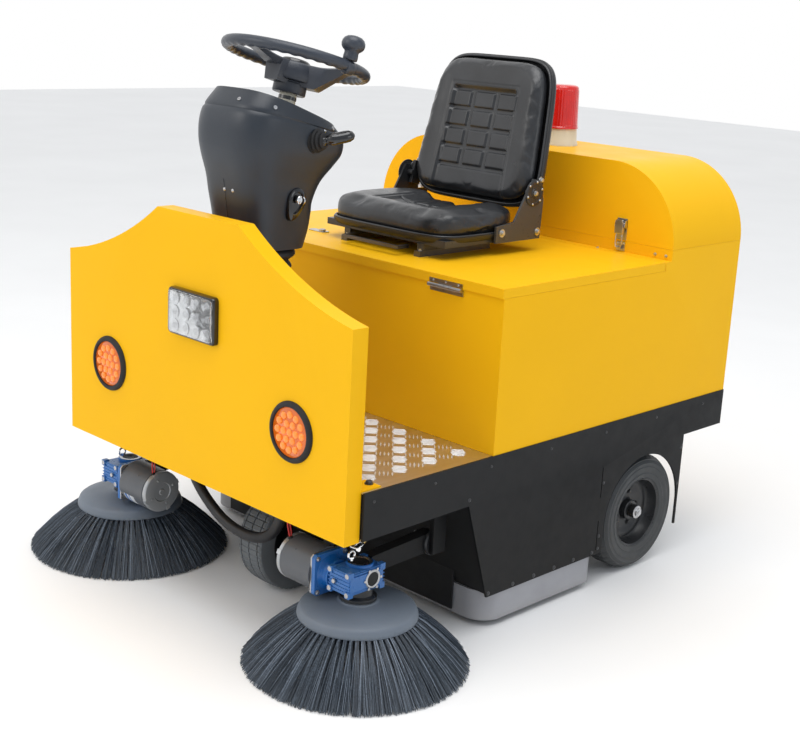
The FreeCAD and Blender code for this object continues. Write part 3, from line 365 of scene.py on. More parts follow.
class Shape:
    """Mesh that is gathered in millimetres about a matrix, with a material index per call."""

    def __init__(self, place=WORLD):
        self.bm = bmesh.new()
        self.place = place
        self.index = 0

    def grid(self, rings, close_u=True, close_v=False, caps=False):
        """Skin over rows of points."""
        rows = [[self.bm.verts.new(point) for point in ring] for ring in rings]
        count = len(rows[0])
        pairs = list(zip(rows, rows[1:])) + ([(rows[-1], rows[0])] if close_v else [])
        for low, high in pairs:
            for i in range(count if close_u else count - 1):
                j = (i + 1) % count
                self.face((low[i], low[j], high[j], high[i]))
        if caps:
            self.face(tuple(reversed(rows[0])))
            self.face(tuple(rows[-1]))
        return self

    def face(self, corners):
        """Face without its repeated corners; nothing when fewer than three are left."""
        corners = [c for i, c in enumerate(corners) if c not in corners[:i]]
        if len(corners) > 2:
            made = self.bm.faces.new(corners)
            made.material_index = self.index

    def lathe(self, profile, turn=None, centre=(0, 0, 0), steps=64, wave=None):
        """Turn (radius, height) points about an axis. WAVE(radius, height, angle) changes a radius."""
        turn = turn or Matrix.Identity(3)
        centre = Vector(centre)
        rings = []
        for radius, height in profile:
            ring = []
            for i in range(steps):
                angle = math.tau * i / steps
                r = wave(radius, height, angle) if wave else radius
                ring.append(centre + turn @ Vector((r * math.cos(angle), r * math.sin(angle), height)))
            rings.append(ring)
        start, end = profile[0][0] < 0.01, profile[-1][0] < 0.01
        inner = rings[1 if start else 0:len(rings) - (1 if end else 0)]
        rows = [[self.bm.verts.new(point) for point in ring] for ring in inner]
        for low, high in zip(rows, rows[1:]):
            for i in range(steps):
                j = (i + 1) % steps
                self.face((low[i], low[j], high[j], high[i]))
        for flag, row, ring, order in ((start, rows[0], rings[0], -1), (end, rows[-1], rings[-1], 1)):
            if flag:
                tip = self.bm.verts.new(ring[0])
                for i in range(steps):
                    corners = (row[i], row[(i + 1) % steps], tip)
                    self.face(corners[::order])
        if not start and not end and profile[0] == profile[-1]:
            bmesh.ops.remove_doubles(self.bm, verts=rows[0] + rows[-1], dist=1e-5)
        return self

    def box(self, x0, y0, z0, x1, y1, z1, turn=None, centre=(0, 0, 0)):
        turn = turn or Matrix.Identity(3)
        centre = Vector(centre)
        spots = [self.bm.verts.new(centre + turn @ Vector((x, y, z)))
                 for z in (z0, z1) for y in (y0, y1) for x in (x0, x1)]
        for corners in ((0, 2, 3, 1), (4, 5, 7, 6), (0, 1, 5, 4), (2, 6, 7, 3), (0, 4, 6, 2), (1, 3, 7, 5)):
            self.face([spots[i] for i in corners])
        return self

    def prism(self, outline, low, high, turn=None, centre=(0, 0, 0)):
        """Straight-sided solid between two heights of an outline."""
        turn = turn or Matrix.Identity(3)
        centre = Vector(centre)
        rings = [[centre + turn @ Vector((u, v, height)) for u, v in outline] for height in (low, high)]
        return self.grid(rings, caps=True)

    def tube(self, points, radius, steps=12, caps=True):
        """Round bar along points; RADIUS is a number or one per point."""
        points = [Vector(point) for point in points]
        radii = radius if hasattr(radius, "__len__") else [radius] * len(points)
        ahead = (points[1] - points[0]).normalized()
        side = ahead.orthogonal().normalized()
        rings = []
        for i, point in enumerate(points):
            before, after = points[max(i - 1, 0)], points[min(i + 1, len(points) - 1)]
            way = (after - before).normalized()
            side = (side - way * side.dot(way)).normalized()
            other = way.cross(side)
            rings.append([point + (side * math.cos(a) + other * math.sin(a)) * radii[i]
                          for a in (math.tau * k / steps for k in range(steps))])
        return self.grid(rings, caps=caps)

    def bolt(self, spot, way, size):
        """Hex head on a washer, pointing WAY."""
        turn = towards(way)
        self.lathe([(0, 0), (size * 1.25, 0), (size * 1.25, size * 0.22), (0, size * 0.22)], turn, spot, 20)
        self.lathe([(0, size * 0.22), (size, size * 0.22), (size, size * 0.85), (size * 0.8, size),
                    (0, size)],
                   turn, spot, 6)
        return self

    def rivet(self, spot, way, size):
        dome = [(size * math.cos(a), size * 0.55 * math.sin(a)) for a in (0, 0.5, 1.0, 1.3)]
        return self.lathe(dome + [(0, size * 0.55)], towards(way), spot, 16)

    def done(self, name, body, slot, mats, bevel=0.0, sharp=38, replaces=None):
        """Finish the piece: metres, shading, materials, body and the CAD node it stands for; SLOT is not
        used.
        """
        bmesh.ops.transform(self.bm, matrix=self.place, verts=self.bm.verts)
        bmesh.ops.recalc_face_normals(self.bm, faces=self.bm.faces)
        mesh = bpy.data.meshes.new(name)
        self.bm.to_mesh(mesh)
        self.bm.free()
        mesh.shade_smooth()
        mesh.set_sharp_from_angle(angle=math.radians(sharp))
        piece = linked(name, mesh)
        for key in ([mats] if isinstance(mats, str) else mats):
            mesh.materials.append(M[key])
        if bevel:
            add_bevel(piece, bevel)
        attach(piece, body)
        if replaces:
            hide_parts(replaces)
        return piece


def add_bevel(piece, width):
    """Round the sharp edges by WIDTH millimetres."""
    item = piece.modifiers.new("bevel", "BEVEL")
    item.width = width * MM
    item.segments = 2
    item.limit_method = "ANGLE"
    item.angle_limit = math.radians(35)
    item.harden_normals = True
    item.use_clamp_overlap = True


def dress(node, key, bevel=0.0):
    """A CAD node that keeps its shape: material, and a small radius on its edges."""
    piece = bpy.data.objects[node]
    piece.data.materials.clear()
    piece.data.materials.append(M[key])
    if bevel:
        add_bevel(piece, bevel)


# ---------------------------------------------------------------- camera, light and wiring conduit

def camera():
    """Camera that stands where the photograph was taken from, rolled by a few degrees."""
    yaw, pitch, roll = math.radians(44.23), math.radians(-15.14), math.radians(3.0)
    ahead = Vector((-math.sin(yaw) * math.cos(pitch), math.cos(yaw) * math.cos(pitch), math.sin(pitch)))
    level = ahead.cross(Vector((0, 0, 1))).normalized()
    over = level.cross(ahead)
    right = level * math.cos(roll) + over * math.sin(roll)
    top = over * math.cos(roll) - level * math.sin(roll)
    data = bpy.data.cameras.new("camera")
    data.lens, data.sensor_width = 62.0, 36.0
    eye = linked("camera", data)
    turn = Matrix((right, top, -ahead)).transposed().to_4x4()
    eye.matrix_world = Matrix.Translation(at(2367.8, -1783.4, 1388.4)) @ turn
    bpy.context.scene.camera = eye


def area_light(name, spot, aim, size, power, color=(1, 1, 1)):
    data = bpy.data.lights.new(name, "AREA")
    data.shape, data.size, data.energy, data.color = "DISK", size, power, color
    lamp = linked(name, data)
    lamp.location = spot
    lamp.rotation_euler = (Vector(aim) - Vector(spot)).to_track_quat("-Z", "Y").to_euler()


def studio():
    """Pale floor, bright surroundings, and a soft key light from the camera's left."""
    world = bpy.data.worlds.new("studio")
    bpy.context.scene.world = world
    world.use_nodes = True
    tree = world.node_tree
    split = tree.nodes.new("ShaderNodeSeparateXYZ")
    tree.links.new(tree.nodes.new("ShaderNodeTexCoord").outputs["Generated"], split.inputs[0])
    shade = ramp(tree, split.outputs["X"], [(0.0, (1.0, 1.0, 1.0)), (0.55, (0.52, 0.56, 0.61))])
    tree.links.new(shade, tree.nodes["Background"].inputs["Color"])
    bpy.context.scene.view_settings.view_transform = "Standard"
    mesh = bpy.data.meshes.new("floor")
    reach = 14.0
    corners = [(-reach, -reach, 0), (reach, -reach, 0), (reach, reach, 0), (-reach, reach, 0)]
    mesh.from_pydata(corners, [], [(0, 1, 2, 3)])
    floor = linked("floor", mesh)
    mat, tree, shader, coords = nodes_of("floor")
    shade = noise_of(tree, coords, 1.2, 3.0)
    tree.links.new(ramp(tree, shade, [(0.3, 0.90), (0.7, 0.93)]), shader.inputs["Base Color"])
    shader.inputs["Roughness"].default_value = 0.7
    mesh.materials.append(mat)
    area_light("key", (-1.6, -4.2, 3.4), (0, 0, 0.5), 2.4, 34, (1.0, 0.98, 0.95))
    area_light("top", (0.9, -0.6, 4.6), (0, 0, 0.4), 3.4, 95)
    area_light("side", (4.8, 0.6, 2.2), (0, 0, 0.5), 2.0, 15)


def conduit():
    """Corrugated sleeve that hangs between two clips under the front cross member."""
    radius, valley = 0.0125, 0.0112
    route = [(-118, 379), (-117, 340), (-106, 300), (-80, 268), (-38, 236), (18, 208), (80, 198), (140, 203),
             (186, 226), (214, 262), (226, 310), (226.5, 379)]
    curve = bpy.data.curves.new("conduit_line", "CURVE")
    curve.dimensions = "3D"
    curve.resolution_u = 24
    spline = curve.splines.new("NURBS")
    spline.points.add(len(route) - 1)
    for point, (x, z) in zip(spline.points, route):
        point.co = (*at(x, 75, z), 1)
    spline.order_u = 3
    spline.use_endpoint_u = True
    line = linked("conduit_line", curve)
    points = [v.co.copy() for v in bpy.data.meshes.new_from_object(line).vertices]
    bpy.data.objects.remove(line)
    shape = Shape(Matrix.Identity(4))
    shape.tube(points, [radius if i % 2 else valley for i in range(len(points))], 20)
    sleeve = shape.done("wiring_sleeve", "chassis", "conduit_black", "conduit", sharp=80,
                        replaces="wiring_conduit")
    clips = Shape()
    for x in (-118, 226.5):
        clips.box(x - 22, 60, 376.5, x + 22, 90, 379.8)
        clips.lathe([(14.5, -14), (17, -14), (17, 0), (14.5, 0), (14.5, -14)], None, (x, 75, 379), 32)
        for side in (-18, 18):
            clips.bolt((x + side, 75, 376.5), (0, 0, -1), 3.0)
    clips.done("conduit_clips", "chassis", "zinc_steel", "zinc", bevel=0.5)


# ---------------------------------------------------------------- folded body

def chequer():
    """Aluminium plate with raised lozenge bars in fives, turned by a right angle from field to field."""
    dress("floor_plate", "deck")
    shape = Shape()
    pitch, length, half, high = 46.0, 37.0, 2.3, 1.4
    x0, x1, y0, y1 = -500, 500, 46, 430
    columns = int((x1 - x0) / pitch)
    rows = int((y1 - y0) / pitch)
    blocked = [(-50, 50, 40, 118), (-155, -90, 90, 185), (90, 155, 90, 185), (450, 505, 40, 100),
               (-505, -450, 40, 100)]            # column, pedals and the panel's feet: x and y from, to
    for row in range(rows):
        for column in range(columns):
            cx = x0 + (column + 0.5) * pitch
            cy = y0 + (row + 0.5) * pitch
            angle = math.radians(45 if (row + column) % 2 else -45)
            ahead = Vector((math.cos(angle), math.sin(angle)))
            aside = Vector((-ahead.y, ahead.x))
            for k in range(-2, 3):
                middle = Vector((cx, cy)) + aside * k * 9.0
                if any(a - 8 < middle.x < b + 8 and c - 8 < middle.y < d + 8 for a, b, c, d in blocked):
                    continue
                reach = length / 2 * (1 - 0.10 * abs(k))
                outline = [middle + ahead * reach, middle + aside * half, middle - ahead * reach,
                           middle - aside * half]
                crest = [middle + ahead * reach * 0.72, middle + aside * half * 0.35,
                         middle - ahead * reach * 0.72, middle - aside * half * 0.35]
                foot = [shape.bm.verts.new((p.x, p.y, DECK_TOP)) for p in outline]
                top = [shape.bm.verts.new((p.x, p.y, DECK_TOP + high)) for p in crest]
                for i in range(4):
                    shape.face((foot[i], foot[(i + 1) % 4], top[(i + 1) % 4], top[i]))
                shape.face(top)
                shape.face(list(reversed(foot)))
    shape.done("chequer_bars", "chassis", "chequer_aluminium", "deck_bar", sharp=20)


def rivets():
    """Rivets and bolts of the side plates, panel feet, wheel arches and hopper front."""
    shape = Shape()
    for _, s in SIDES:
        side = s * 510
        for y in (445, 531, 607, 683, 757, 831):
            shape.rivet((side, y + 4, 95), (s, 0, 0), 5.2)
        for y, z in ((363, 340), (858, 272), (858, 133), (858, 100), (1188, 200), (1186, 300)):
            shape.rivet((side, y, z), (s, 0, 0), 4.5)
        for y in (70, 250, 430, 640, 850, 1060, 1270):
            shape.rivet((side, y, 404), (s, 0, 0), 3.6)
        shape.bolt((s * 476, 86, 429), (0, 0, 1), 7.5)
    shape.done("side_plate_rivets", "chassis", "black_paint", "black_fine", sharp=50)
    screws = Shape()
    for x in (457, 489):
        for s in (1, -1):
            screws.bolt((s * x, 1060, 812), (0, -1, 0), 3.4)
    for x in (-290, 0, 290):
        screws.bolt((x, 1048, 802), (0, 0, 1), 3.6)
    for x in (-420, -140, 140, 420):
        screws.bolt((x, 1367, 460), (0, 1, 0), 4.0)
    screws.done("body_screws", "chassis", "zinc_steel", "zinc", sharp=40)


def folded_body():
    """Looks of the CAD nodes that keep their shape, hinge screws and the lid's lock."""
    looks = (("yellow", 1.4, ("front_panel", "body_box", "seat_lid", "hopper_cover")),
             ("black", 1.0, ("side_plate_left", "side_plate_right", "chassis_frame", "brush_chamber",
                             "drive_fork", "main_brush_carrier", "brush_arm_left", "brush_arm_right",
                             "pedal_brackets")),
             ("steel", 0.4, ("hinge_fixed_leaves", "lid_hinge_leaves", "cover_hinge_leaves")),
             ("steel_dark", 1.0, ("seat_rails", "slide_lever")),
             ("cream", 0.8, ("steering_tube", "steering_shaft")),
             ("gloss_black", 1.5, ("recline_lever",)),
             ("black", 1.2, ("dust_bin",)),
             ("battery", 3.0, ("batteries",)),
             ("fan", 2.0, ("suction_fan",)),
             ("black_fine", 1.2, ("seat_pan",)))
    for key, bevel, named in looks:
        for node in named:
            dress(node, key, bevel)
    for name, body, middle, y, z, way, size in (("lid_hinge_screws", "lid", 340, 429.5, 787.2, -1, 2.2),
                                                ("cover_hinge_screws", "cover", 300, 1369, 850, 1, 2.8)):
        shape = Shape()
        for s in (1, -1):
            for shift in (-38, 0, 38):
                shape.bolt((s * middle + shift, y, z), (0, way, 0), size)
        shape.done(name, body, "zinc_steel", "zinc", sharp=40)
    lock = Shape()
    lock.prism([(-26, -12), (26, -12), (30, -8), (30, 8), (26, 12), (-26, 12), (-30, 8), (-30, -8)], 0, 2.4,
               None, (-245, 575, 802))
    barrel = (-232, 575, 802)
    lock.lathe([(0, 2.4), (9, 2.4), (9, 6.4), (7.5, 7.4), (0, 7.4)], None, barrel, 28)
    lock.box(-6, -1.1, 7.0, 6, 1.1, 8.0, rot(35, "Z"), barrel)
    lock.done("lid_lock", "lid", "steel_plain", "steel", bevel=0.4)


def latches():
    """Toggle latches: base plate, over-centre lever with rolled end, wire loop and hook on the ledge."""
    for side, s in SIDES:
        x = s * 352
        shape = Shape()
        lever = [(-12, 0), (12, 0), (12, 26), (7, 32), (-7, 32), (-12, 26)]
        shape.prism(lever, 0, 2.2, ALONG["-y"], (x, 1046, 850))
        for edge in (-12, 10.5):
            shape.box(x + edge, 1046, 850, x + edge + 1.5, 1051.5, 874)
        shape.tube([(x - 12, 1052, 872), (x + 12, 1052, 872)], 3.2, 16)
        shape.tube([(x - 12, 1046.6, 849.5), (x + 12, 1046.6, 849.5)], 2.0, 12)
        wire = [(x - 9, 1051, 871), (x - 9.4, 1049, 845), (x - 9.4, 1048, 822), (x - 7, 1047.6, 815),
                (x, 1047.5, 813.2), (x + 7, 1047.6, 815), (x + 9.4, 1048, 822), (x + 9.4, 1049, 845),
                (x + 9, 1051, 871)]
        shape.tube(wire, 1.4, 10)
        shape.done("toggle_latch_" + side, "toggle_" + side, "zinc_steel", "zinc", bevel=0.3, sharp=45,
                   replaces="latch_" + side)
        base = Shape()
        base.box(x - 15, 1058.4, 832, x + 15, 1060, 886)
        for edge in (-15, 13.6):
            base.prism([(1046.5, 866), (1060, 860), (1060, 884), (1050, 880)], edge, edge + 1.4,
                       UPRIGHT, (x, 0, 0))
        for z in (839, 879):
            base.rivet((x, 1058.4, z), (0, -1, 0), 2.6)
        base.done("latch_base_" + side, "cover", "zinc_steel", "zinc", bevel=0.2)
        hook = Shape()
        hook.box(x - 13, 1058.5, 804, x + 13, 1060, 828)
        hook.prism([(1050.5, 808.4), (1060, 808.4), (1060, 810.4), (1053, 810.6), (1052.4, 818),
                    (1050.8, 818)],
                   -6, 6, UPRIGHT, (x, 0, 0))
        for edge in (-9, 9):
            hook.rivet((x + edge, 1058.5, 823), (0, -1, 0), 2.2)
        hook.done("latch_hook_" + side, "chassis", "zinc_steel", "zinc", bevel=0.2)


# ---------------------------------------------------------------- lamps

def headlight():
    """Black case with twelve bowls and their domes behind a clear glass."""
    shape = Shape()
    turn = ALONG["-y"]

    def frame_loop(half_x, half_z, round_by):
        return [(sx * (half_x - round_by) + round_by * math.cos(a),
                 sz * (half_z - round_by) + round_by * math.sin(a))
                for sx, sz, start in ((1, 1, 0), (-1, 1, 90), (-1, -1, 180), (1, -1, 270))
                for a in (math.radians(start + step) for step in (0, 22.5, 45, 67.5, 90))]

    def stepped(stations):
        return [[turn @ Vector((u, v, depth)) + Vector((0, 0, HEADLIGHT_Z)) for u, v in frame_loop(a, b, r)]
                for a, b, r, depth in stations]

    shape.grid(stepped(((82, 53, 9, 0), (82, 53, 9, 10), (80, 51, 8, 13.5), (77.5, 48.5, 6, 14),
                        (76, 47, 5, 13), (76, 47, 5, 9))), caps=True)
    shape.done("headlight_case", "chassis", "gloss_black", "gloss_black", sharp=40,
               replaces="headlight_housing")
    cells = Shape()
    columns, rows, pitch_x, pitch_z = 4, 3, 36.5, 30.5
    for column in range(columns):
        for row in range(rows):
            x = (column - 1.5) * pitch_x
            z = HEADLIGHT_Z + (row - 1) * pitch_z
            bowl = [(15.0, 13.0), (15.0, 14.2), (13.6, 14.2), (5.0, 10.2), (0, 10.2)]
            cells.index = 0
            cells.lathe(bowl, turn, (x, 0, z), 24)
            cells.index = 1
            cells.lathe([(8.0, 10.4), (7.4, 12.6), (4.6, 14.2), (0, 14.6)], turn, (x, 0, z), 20)
    cells.index = 0
    cells.prism(frame_loop(75.6, 46.6, 4.6), 9.2, 11.0, turn, (0, 0, HEADLIGHT_Z))
    cells.done("headlight_cells", "chassis", "chrome_trim", ["chrome", "led"], sharp=50)
    lens = Shape()
    lens.grid(stepped(((75.8, 46.8, 5, 14.8), (75.8, 46.8, 5, 17.6), (74.6, 45.6, 5, 18.6))), caps=True)
    lens.done("headlight_glass", "chassis", "clear_lens", "clear", sharp=40, replaces="headlight_lens")


def turn_lamps():
    """Amber lamps: rubber grommet, lens bowl and rings of 1, 6 and 12 round cells."""
    turn = ALONG["-y"]
    dome = [(8.4, 5.6), (8.1, 7.4), (6.2, 8.8), (3.2, 9.6), (0, 9.8)]
    rings, lenses = Shape(), Shape()
    for _, s in SIDES:
        centre = (s * 330, 0, 518)
        rings.lathe([(53.9, 0), (53.9, 7.0), (55.4, 9.0), (59.0, 9.0), (63.4, 6.6), (65.6, 3.2), (66, 0.3),
                     (53.9, 0)], turn, centre, 96)
        lenses.index = 0
        lenses.lathe([(53.6, 1.0), (53.6, 4.4), (52.4, 5.6), (0, 6.2)], turn, centre, 96)
        lenses.index = 1
        for u, v in [(0, 0)] + around(6, 19.0) + around(12, 38.0):
            lenses.lathe(dome, turn, Vector(centre) + turn @ Vector((u, v, 0)), 22)
    rings.done("turn_lamp_grommets", "chassis", "black_rubber", "rubber", sharp=60,
               replaces="turn_lamp_bezels")
    lenses.done("turn_lamp_glass", "chassis", "amber_lens", ["amber", "amber_cell"], sharp=50,
                replaces="turn_lamp_lenses")


def beacon():
    """Warning beacon: cream foot, fluted red dome and the reflector in it."""
    base = Shape()
    x0, y0, foot = BEACON
    dome_z = foot + 46
    base.lathe([(0, 0), (50, 0), (50, 5), (48.5, 7), (48.5, 9), (46.6, 12), (45.2, 42), (44.0, 46), (0, 46)],
               None, BEACON, 72)
    for x, y in around(4, 46.295, 0.5):
        base.bolt((x0 + x, y0 + y, foot + 5.5), (0, 0, 1), 2.2)
    base.done("beacon_socket", "cover", "cream_paint", "cream", sharp=40, replaces="beacon_base")

    def ribs(radius, height, angle):
        """Upright flutes on the wall, fading out on the crown."""
        fade = min(1.0, max(0.0, (109 - height) / 10)) * min(1.0, max(0.0, height / 6))
        return radius - 0.9 * fade * (0.5 + 0.5 * math.cos(36 * angle))

    lens = Shape()
    wall = [(48, 0), (48, 4), (46.6, 5)]
    for i in range(21):
        height = 8 + i * 4.6
        wall += [(46.6 - height * 0.030, height), (45.6 - height * 0.030, height + 2.4)]
    wall += [(42, 109), (38, 113), (30, 115.2), (14, 116), (0, 116)]
    lens.lathe([(0, 0)] + wall, None, (x0, y0, dome_z), 144, ribs)
    lens.done("beacon_dome", "cover", "red_lens", "red", sharp=60, replaces="beacon_lens")
    core = Shape()
    core.lathe([(0, 1), (15, 1), (15, 70), (11, 88), (0, 92)], None, (x0, y0, dome_z), 32)
    core.done("beacon_reflector", "cover", "chrome_trim", "chrome", sharp=40)


# ---------------------------------------------------------------- steering column

def steering_wheel():
    """Dished three-spoke wheel: smooth rim with finger ripples below, and a deep hub."""
    rim_r, tube_r, ripples = 156, 13, 38
    shape = Shape(COLUMN)
    around, across = ripples * 6, 20
    rings = []
    for i in range(around):
        a = math.tau * i / around
        ring = []
        for k in range(across):
            b = math.tau * k / across
            grip = 1.9 * max(0.0, -math.sin(b + 0.35)) * (0.5 + 0.5 * math.cos(ripples * a))
            reach = rim_r + (tube_r - grip) * math.cos(b)
            ring.append((reach * math.cos(a), reach * math.sin(a), (tube_r - grip) * math.sin(b)))
        rings.append(ring)
    shape.grid(rings, close_v=True)
    shape.lathe([(0, -76), (36, -76), (37.5, -74), (37.5, -54), (35, -52), (35, -50), (50, -48), (52, -44),
                 (52, -14), (48, -9), (40, -8), (38, -11), (36, -8), (20, -5), (0, -4)], steps=64)
    for angle in (-90, 30, 150):
        turn = rot(angle, "Z")
        rows = []
        for along in (20, 40, 56, 60, 61, 66, 74, 84, 96, 108, 120, 132, 147):
            top = -9 + 13 * smooth((along - 60) / 80)
            if angle < 0:
                bottom = -58 if along < 60.5 else top - 15 + 5 * smooth((along - 60) / 60)
            else:
                bottom = min(-58 + 54 * max(0.0, along - 62) / 66, top - 9)
            half = 29 - 9 * smooth((along - 50) / 60) + 4 * smooth((along - 115) / 30)
            edge, low = 0.25 * half, 0.72 * half
            section = [(-half, top - 3), (-half + 2, top), (-half + edge, top), (-half + edge + 3, top - 4),
                       (half - edge - 3, top - 4), (half - edge, top), (half - 2, top), (half, top - 3),
                       (low, bottom), (-low, bottom)]
            rows.append([turn @ Vector((along, v, w)) for v, w in section])
        shape.grid(rows, caps=True)
    knob = math.radians(5)
    clamp = []
    for step in range(-3, 4):
        a = knob + step * 0.026
        grow = 2.6 if abs(step) < 3 else 0.2
        clamp.append([((rim_r + (tube_r + grow) * math.cos(b)) * math.cos(a),
                       (rim_r + (tube_r + grow) * math.cos(b)) * math.sin(a),
                       (tube_r + grow) * math.sin(b) - 2.4)
                      for b in (math.tau * k / 20 for k in range(20))])
    shape.grid(clamp, caps=True)
    shape.done("steering_wheel_rim", "steering", "wheel_plastic", "wheel_plastic", sharp=45,
               replaces="steering_wheel")

    cap = Shape(COLUMN)
    cap.lathe([(34, -8), (33, -3), (28, 0.5), (14, 2.5), (0, 3)], steps=48)
    cap.done("horn_button", "steering", "gloss_black", "gloss_black", sharp=60)

    spot = (rim_r * math.cos(knob), rim_r * math.sin(knob), 0)
    ball = Shape(COLUMN)
    ball.lathe([(0, 13.6), (15.0, 13.6), (16.0, 15), (16.2, 22), (15.4, 30), (16.4, 33), (21, 36.5),
                (24.6, 41), (26, 47), (25.2, 53.5), (22, 59.5), (16, 64), (8, 66), (0, 66.3)], None, spot, 48)
    ball.done("steering_knob", "knob", "wheel_plastic", "wheel_plastic", sharp=50, replaces="spinner_knob")


def oval(half, front, rear, z_front, z_rear, power):
    """Rounded section of the cowl, tipped so that its front is at one height and its rear at another."""
    middle, reach = (front + rear) / 2, (rear - front) / 2
    return [Vector((half * u, middle + reach * v, z_front + (z_rear - z_front) * (v + 1) / 2))
            for u, v in superellipse(72, 1, 1, power)]


def curve_through(rings, steps):
    """Catmull-Rom rows through the given rings."""
    rows = []
    for i in range(len(rings) - 1):
        before, after = rings[max(i - 1, 0)], rings[min(i + 2, len(rings) - 1)]
        for k in range(steps):
            t = k / steps
            rows.append([0.5 * (2 * p1 + (p2 - p0) * t + (2 * p0 - 5 * p1 + 4 * p2 - p3) * t * t
                                + (3 * p1 - p0 - 3 * p2 + p3) * t ** 3)
                         for p0, p1, p2, p3 in zip(before, rings[i], rings[i + 1], after)])
    rows.append(rings[-1])
    return rows


COWL = [oval(84, 97, 252, 842, 840, 4.4), oval(87, 89, 266, 885, 878, 4.2), oval(91, 82, 272, 925, 914, 4.0),
        oval(95, 76, 274, 960, 944, 4.0), oval(100, 69, 294, 1000, 984, 3.9), oval(109, 58, 328, 1040, 1018,
                                                                                   3.8),
        oval(116, 52, 350, 1075, 1042, 3.7), oval(119, 52, 356, 1115, 1068, 3.5),
        oval(118, 64, 346, 1150, 1084, 3.4), oval(113, 94, 330, 1186, 1098, 3.2)]


def cowl():
    """Two plastic half shells: body with a dished top, a seam below the rim, screws and rivets."""
    rows = curve_through(COWL, 7)
    seam = 8 * 7                                 # row of the parting line
    shape = Shape()
    top = rows[-1]
    centre = sum(top, Vector()) / len(top)

    def shrunk(row, amount, up=0.0):
        return [centre + (p - centre) * amount + Vector((0, 0, up)) for p in row]

    lower = rows[:seam] + [shrunk(rows[seam], 0.985)]
    lip = [shrunk(rows[seam], 0.985, 1.2)] + rows[seam + 1:]
    rolled = [shrunk(top, 0.985, 3.0), shrunk(top, 0.955, 3.6), shrunk(top, 0.93, 2.4), shrunk(top, 0.915,
                                                                                               -3.0),
              shrunk(top, 0.90, -10.0), shrunk(top, 0.55, -13.0), shrunk(top, 0.10, -14.0)]
    inside = [[p.lerp(sum(rows[0], Vector()) / len(rows[0]), 0.06) for p in rows[0]]]
    shape.grid(inside + lower + lip + rolled, caps=True)
    shape.done("cowl_shell", "chassis", "black_plastic", "cowl", sharp=28, replaces="column_cowl")

    def on_skin(share, row):
        """Point and outward direction of the skin, SHARE of the way round from +x, on a row."""
        ring = rows[row]
        i = int(share * len(ring)) % len(ring)
        here = ring[i]
        ahead = ring[(i + 1) % len(ring)] - ring[i - 1]
        upward = rows[min(row + 1, len(rows) - 1)][i] - rows[row - 1][i]
        return here, ahead.cross(upward).normalized()

    screws = Shape()
    for share in (0.79, 0.93, 0.07, 0.20, 0.30, 0.43, 0.57):
        spot, way = on_skin(share, seam + 3)
        screws.lathe([(0, 1.0), (1.6, 1.0), (1.8, 2.2), (4.2, 2.0), (4.6, 0.6), (4.6, -1)],
                     towards(way), spot, 20)
    for share in (0.750, 0.770):
        spot, way = on_skin(share, 23)
        screws.rivet(spot, way, 4.4)
    spot, way = on_skin(0.03, seam - 1)
    screws.rivet(spot, way, 3.4)
    screws.done("cowl_screws", "chassis", "steel_plain", "steel", sharp=50)

    joint = Shape()
    line = []
    for row in range(0, 28):
        spot, way = on_skin(0.762, row)
        line.append(spot + way * 0.25)
    joint.tube(line, 1.0, 6)
    joint.done("cowl_front_seam", "chassis", "black_plastic", "gloss_black", sharp=60)

    ring = Shape(COLUMN)
    ring.lathe([(20.3, -127), (30, -127), (30, -121), (27, -115), (24, -111), (22.5, -107), (20.3, -107),
                (20.3, -127)], steps=48)
    ring.done("column_grommet", "chassis", "black_rubber", "rubber", sharp=60)
    band = Shape(COLUMN)
    band.lathe([(20.05, -90), (20.7, -90), (20.7, -82), (20.05, -82), (20.05, -90)], steps=48)
    band.done("column_band", "chassis", "gloss_black", "gloss_black", sharp=40)


def bellows():
    """Rubber bellows round the column, from the deck up to the cowl."""
    shape = Shape()
    pleats = 9
    rings = []
    for i in range(pleats * 8 + 1):
        t = i / (pleats * 8)
        wave = (0.5 - 0.5 * math.cos(math.tau * t * pleats)) ** 0.7
        radius = 64 + 22 * t - 12 * (1 - wave)
        middle = Vector((0, 112 + 62 * t, 590 + 250 * t))
        lean = 0.27 * (1 - t)
        rings.append([middle + Vector((radius * math.cos(a), radius * math.sin(a),
                                       -lean * radius * math.sin(a)))
                      for a in (math.tau * k / 64 for k in range(64))])
    shape.grid(rings)
    shape.done("column_boot", "chassis", "black_rubber", "rubber", sharp=60, replaces="column_bellows")


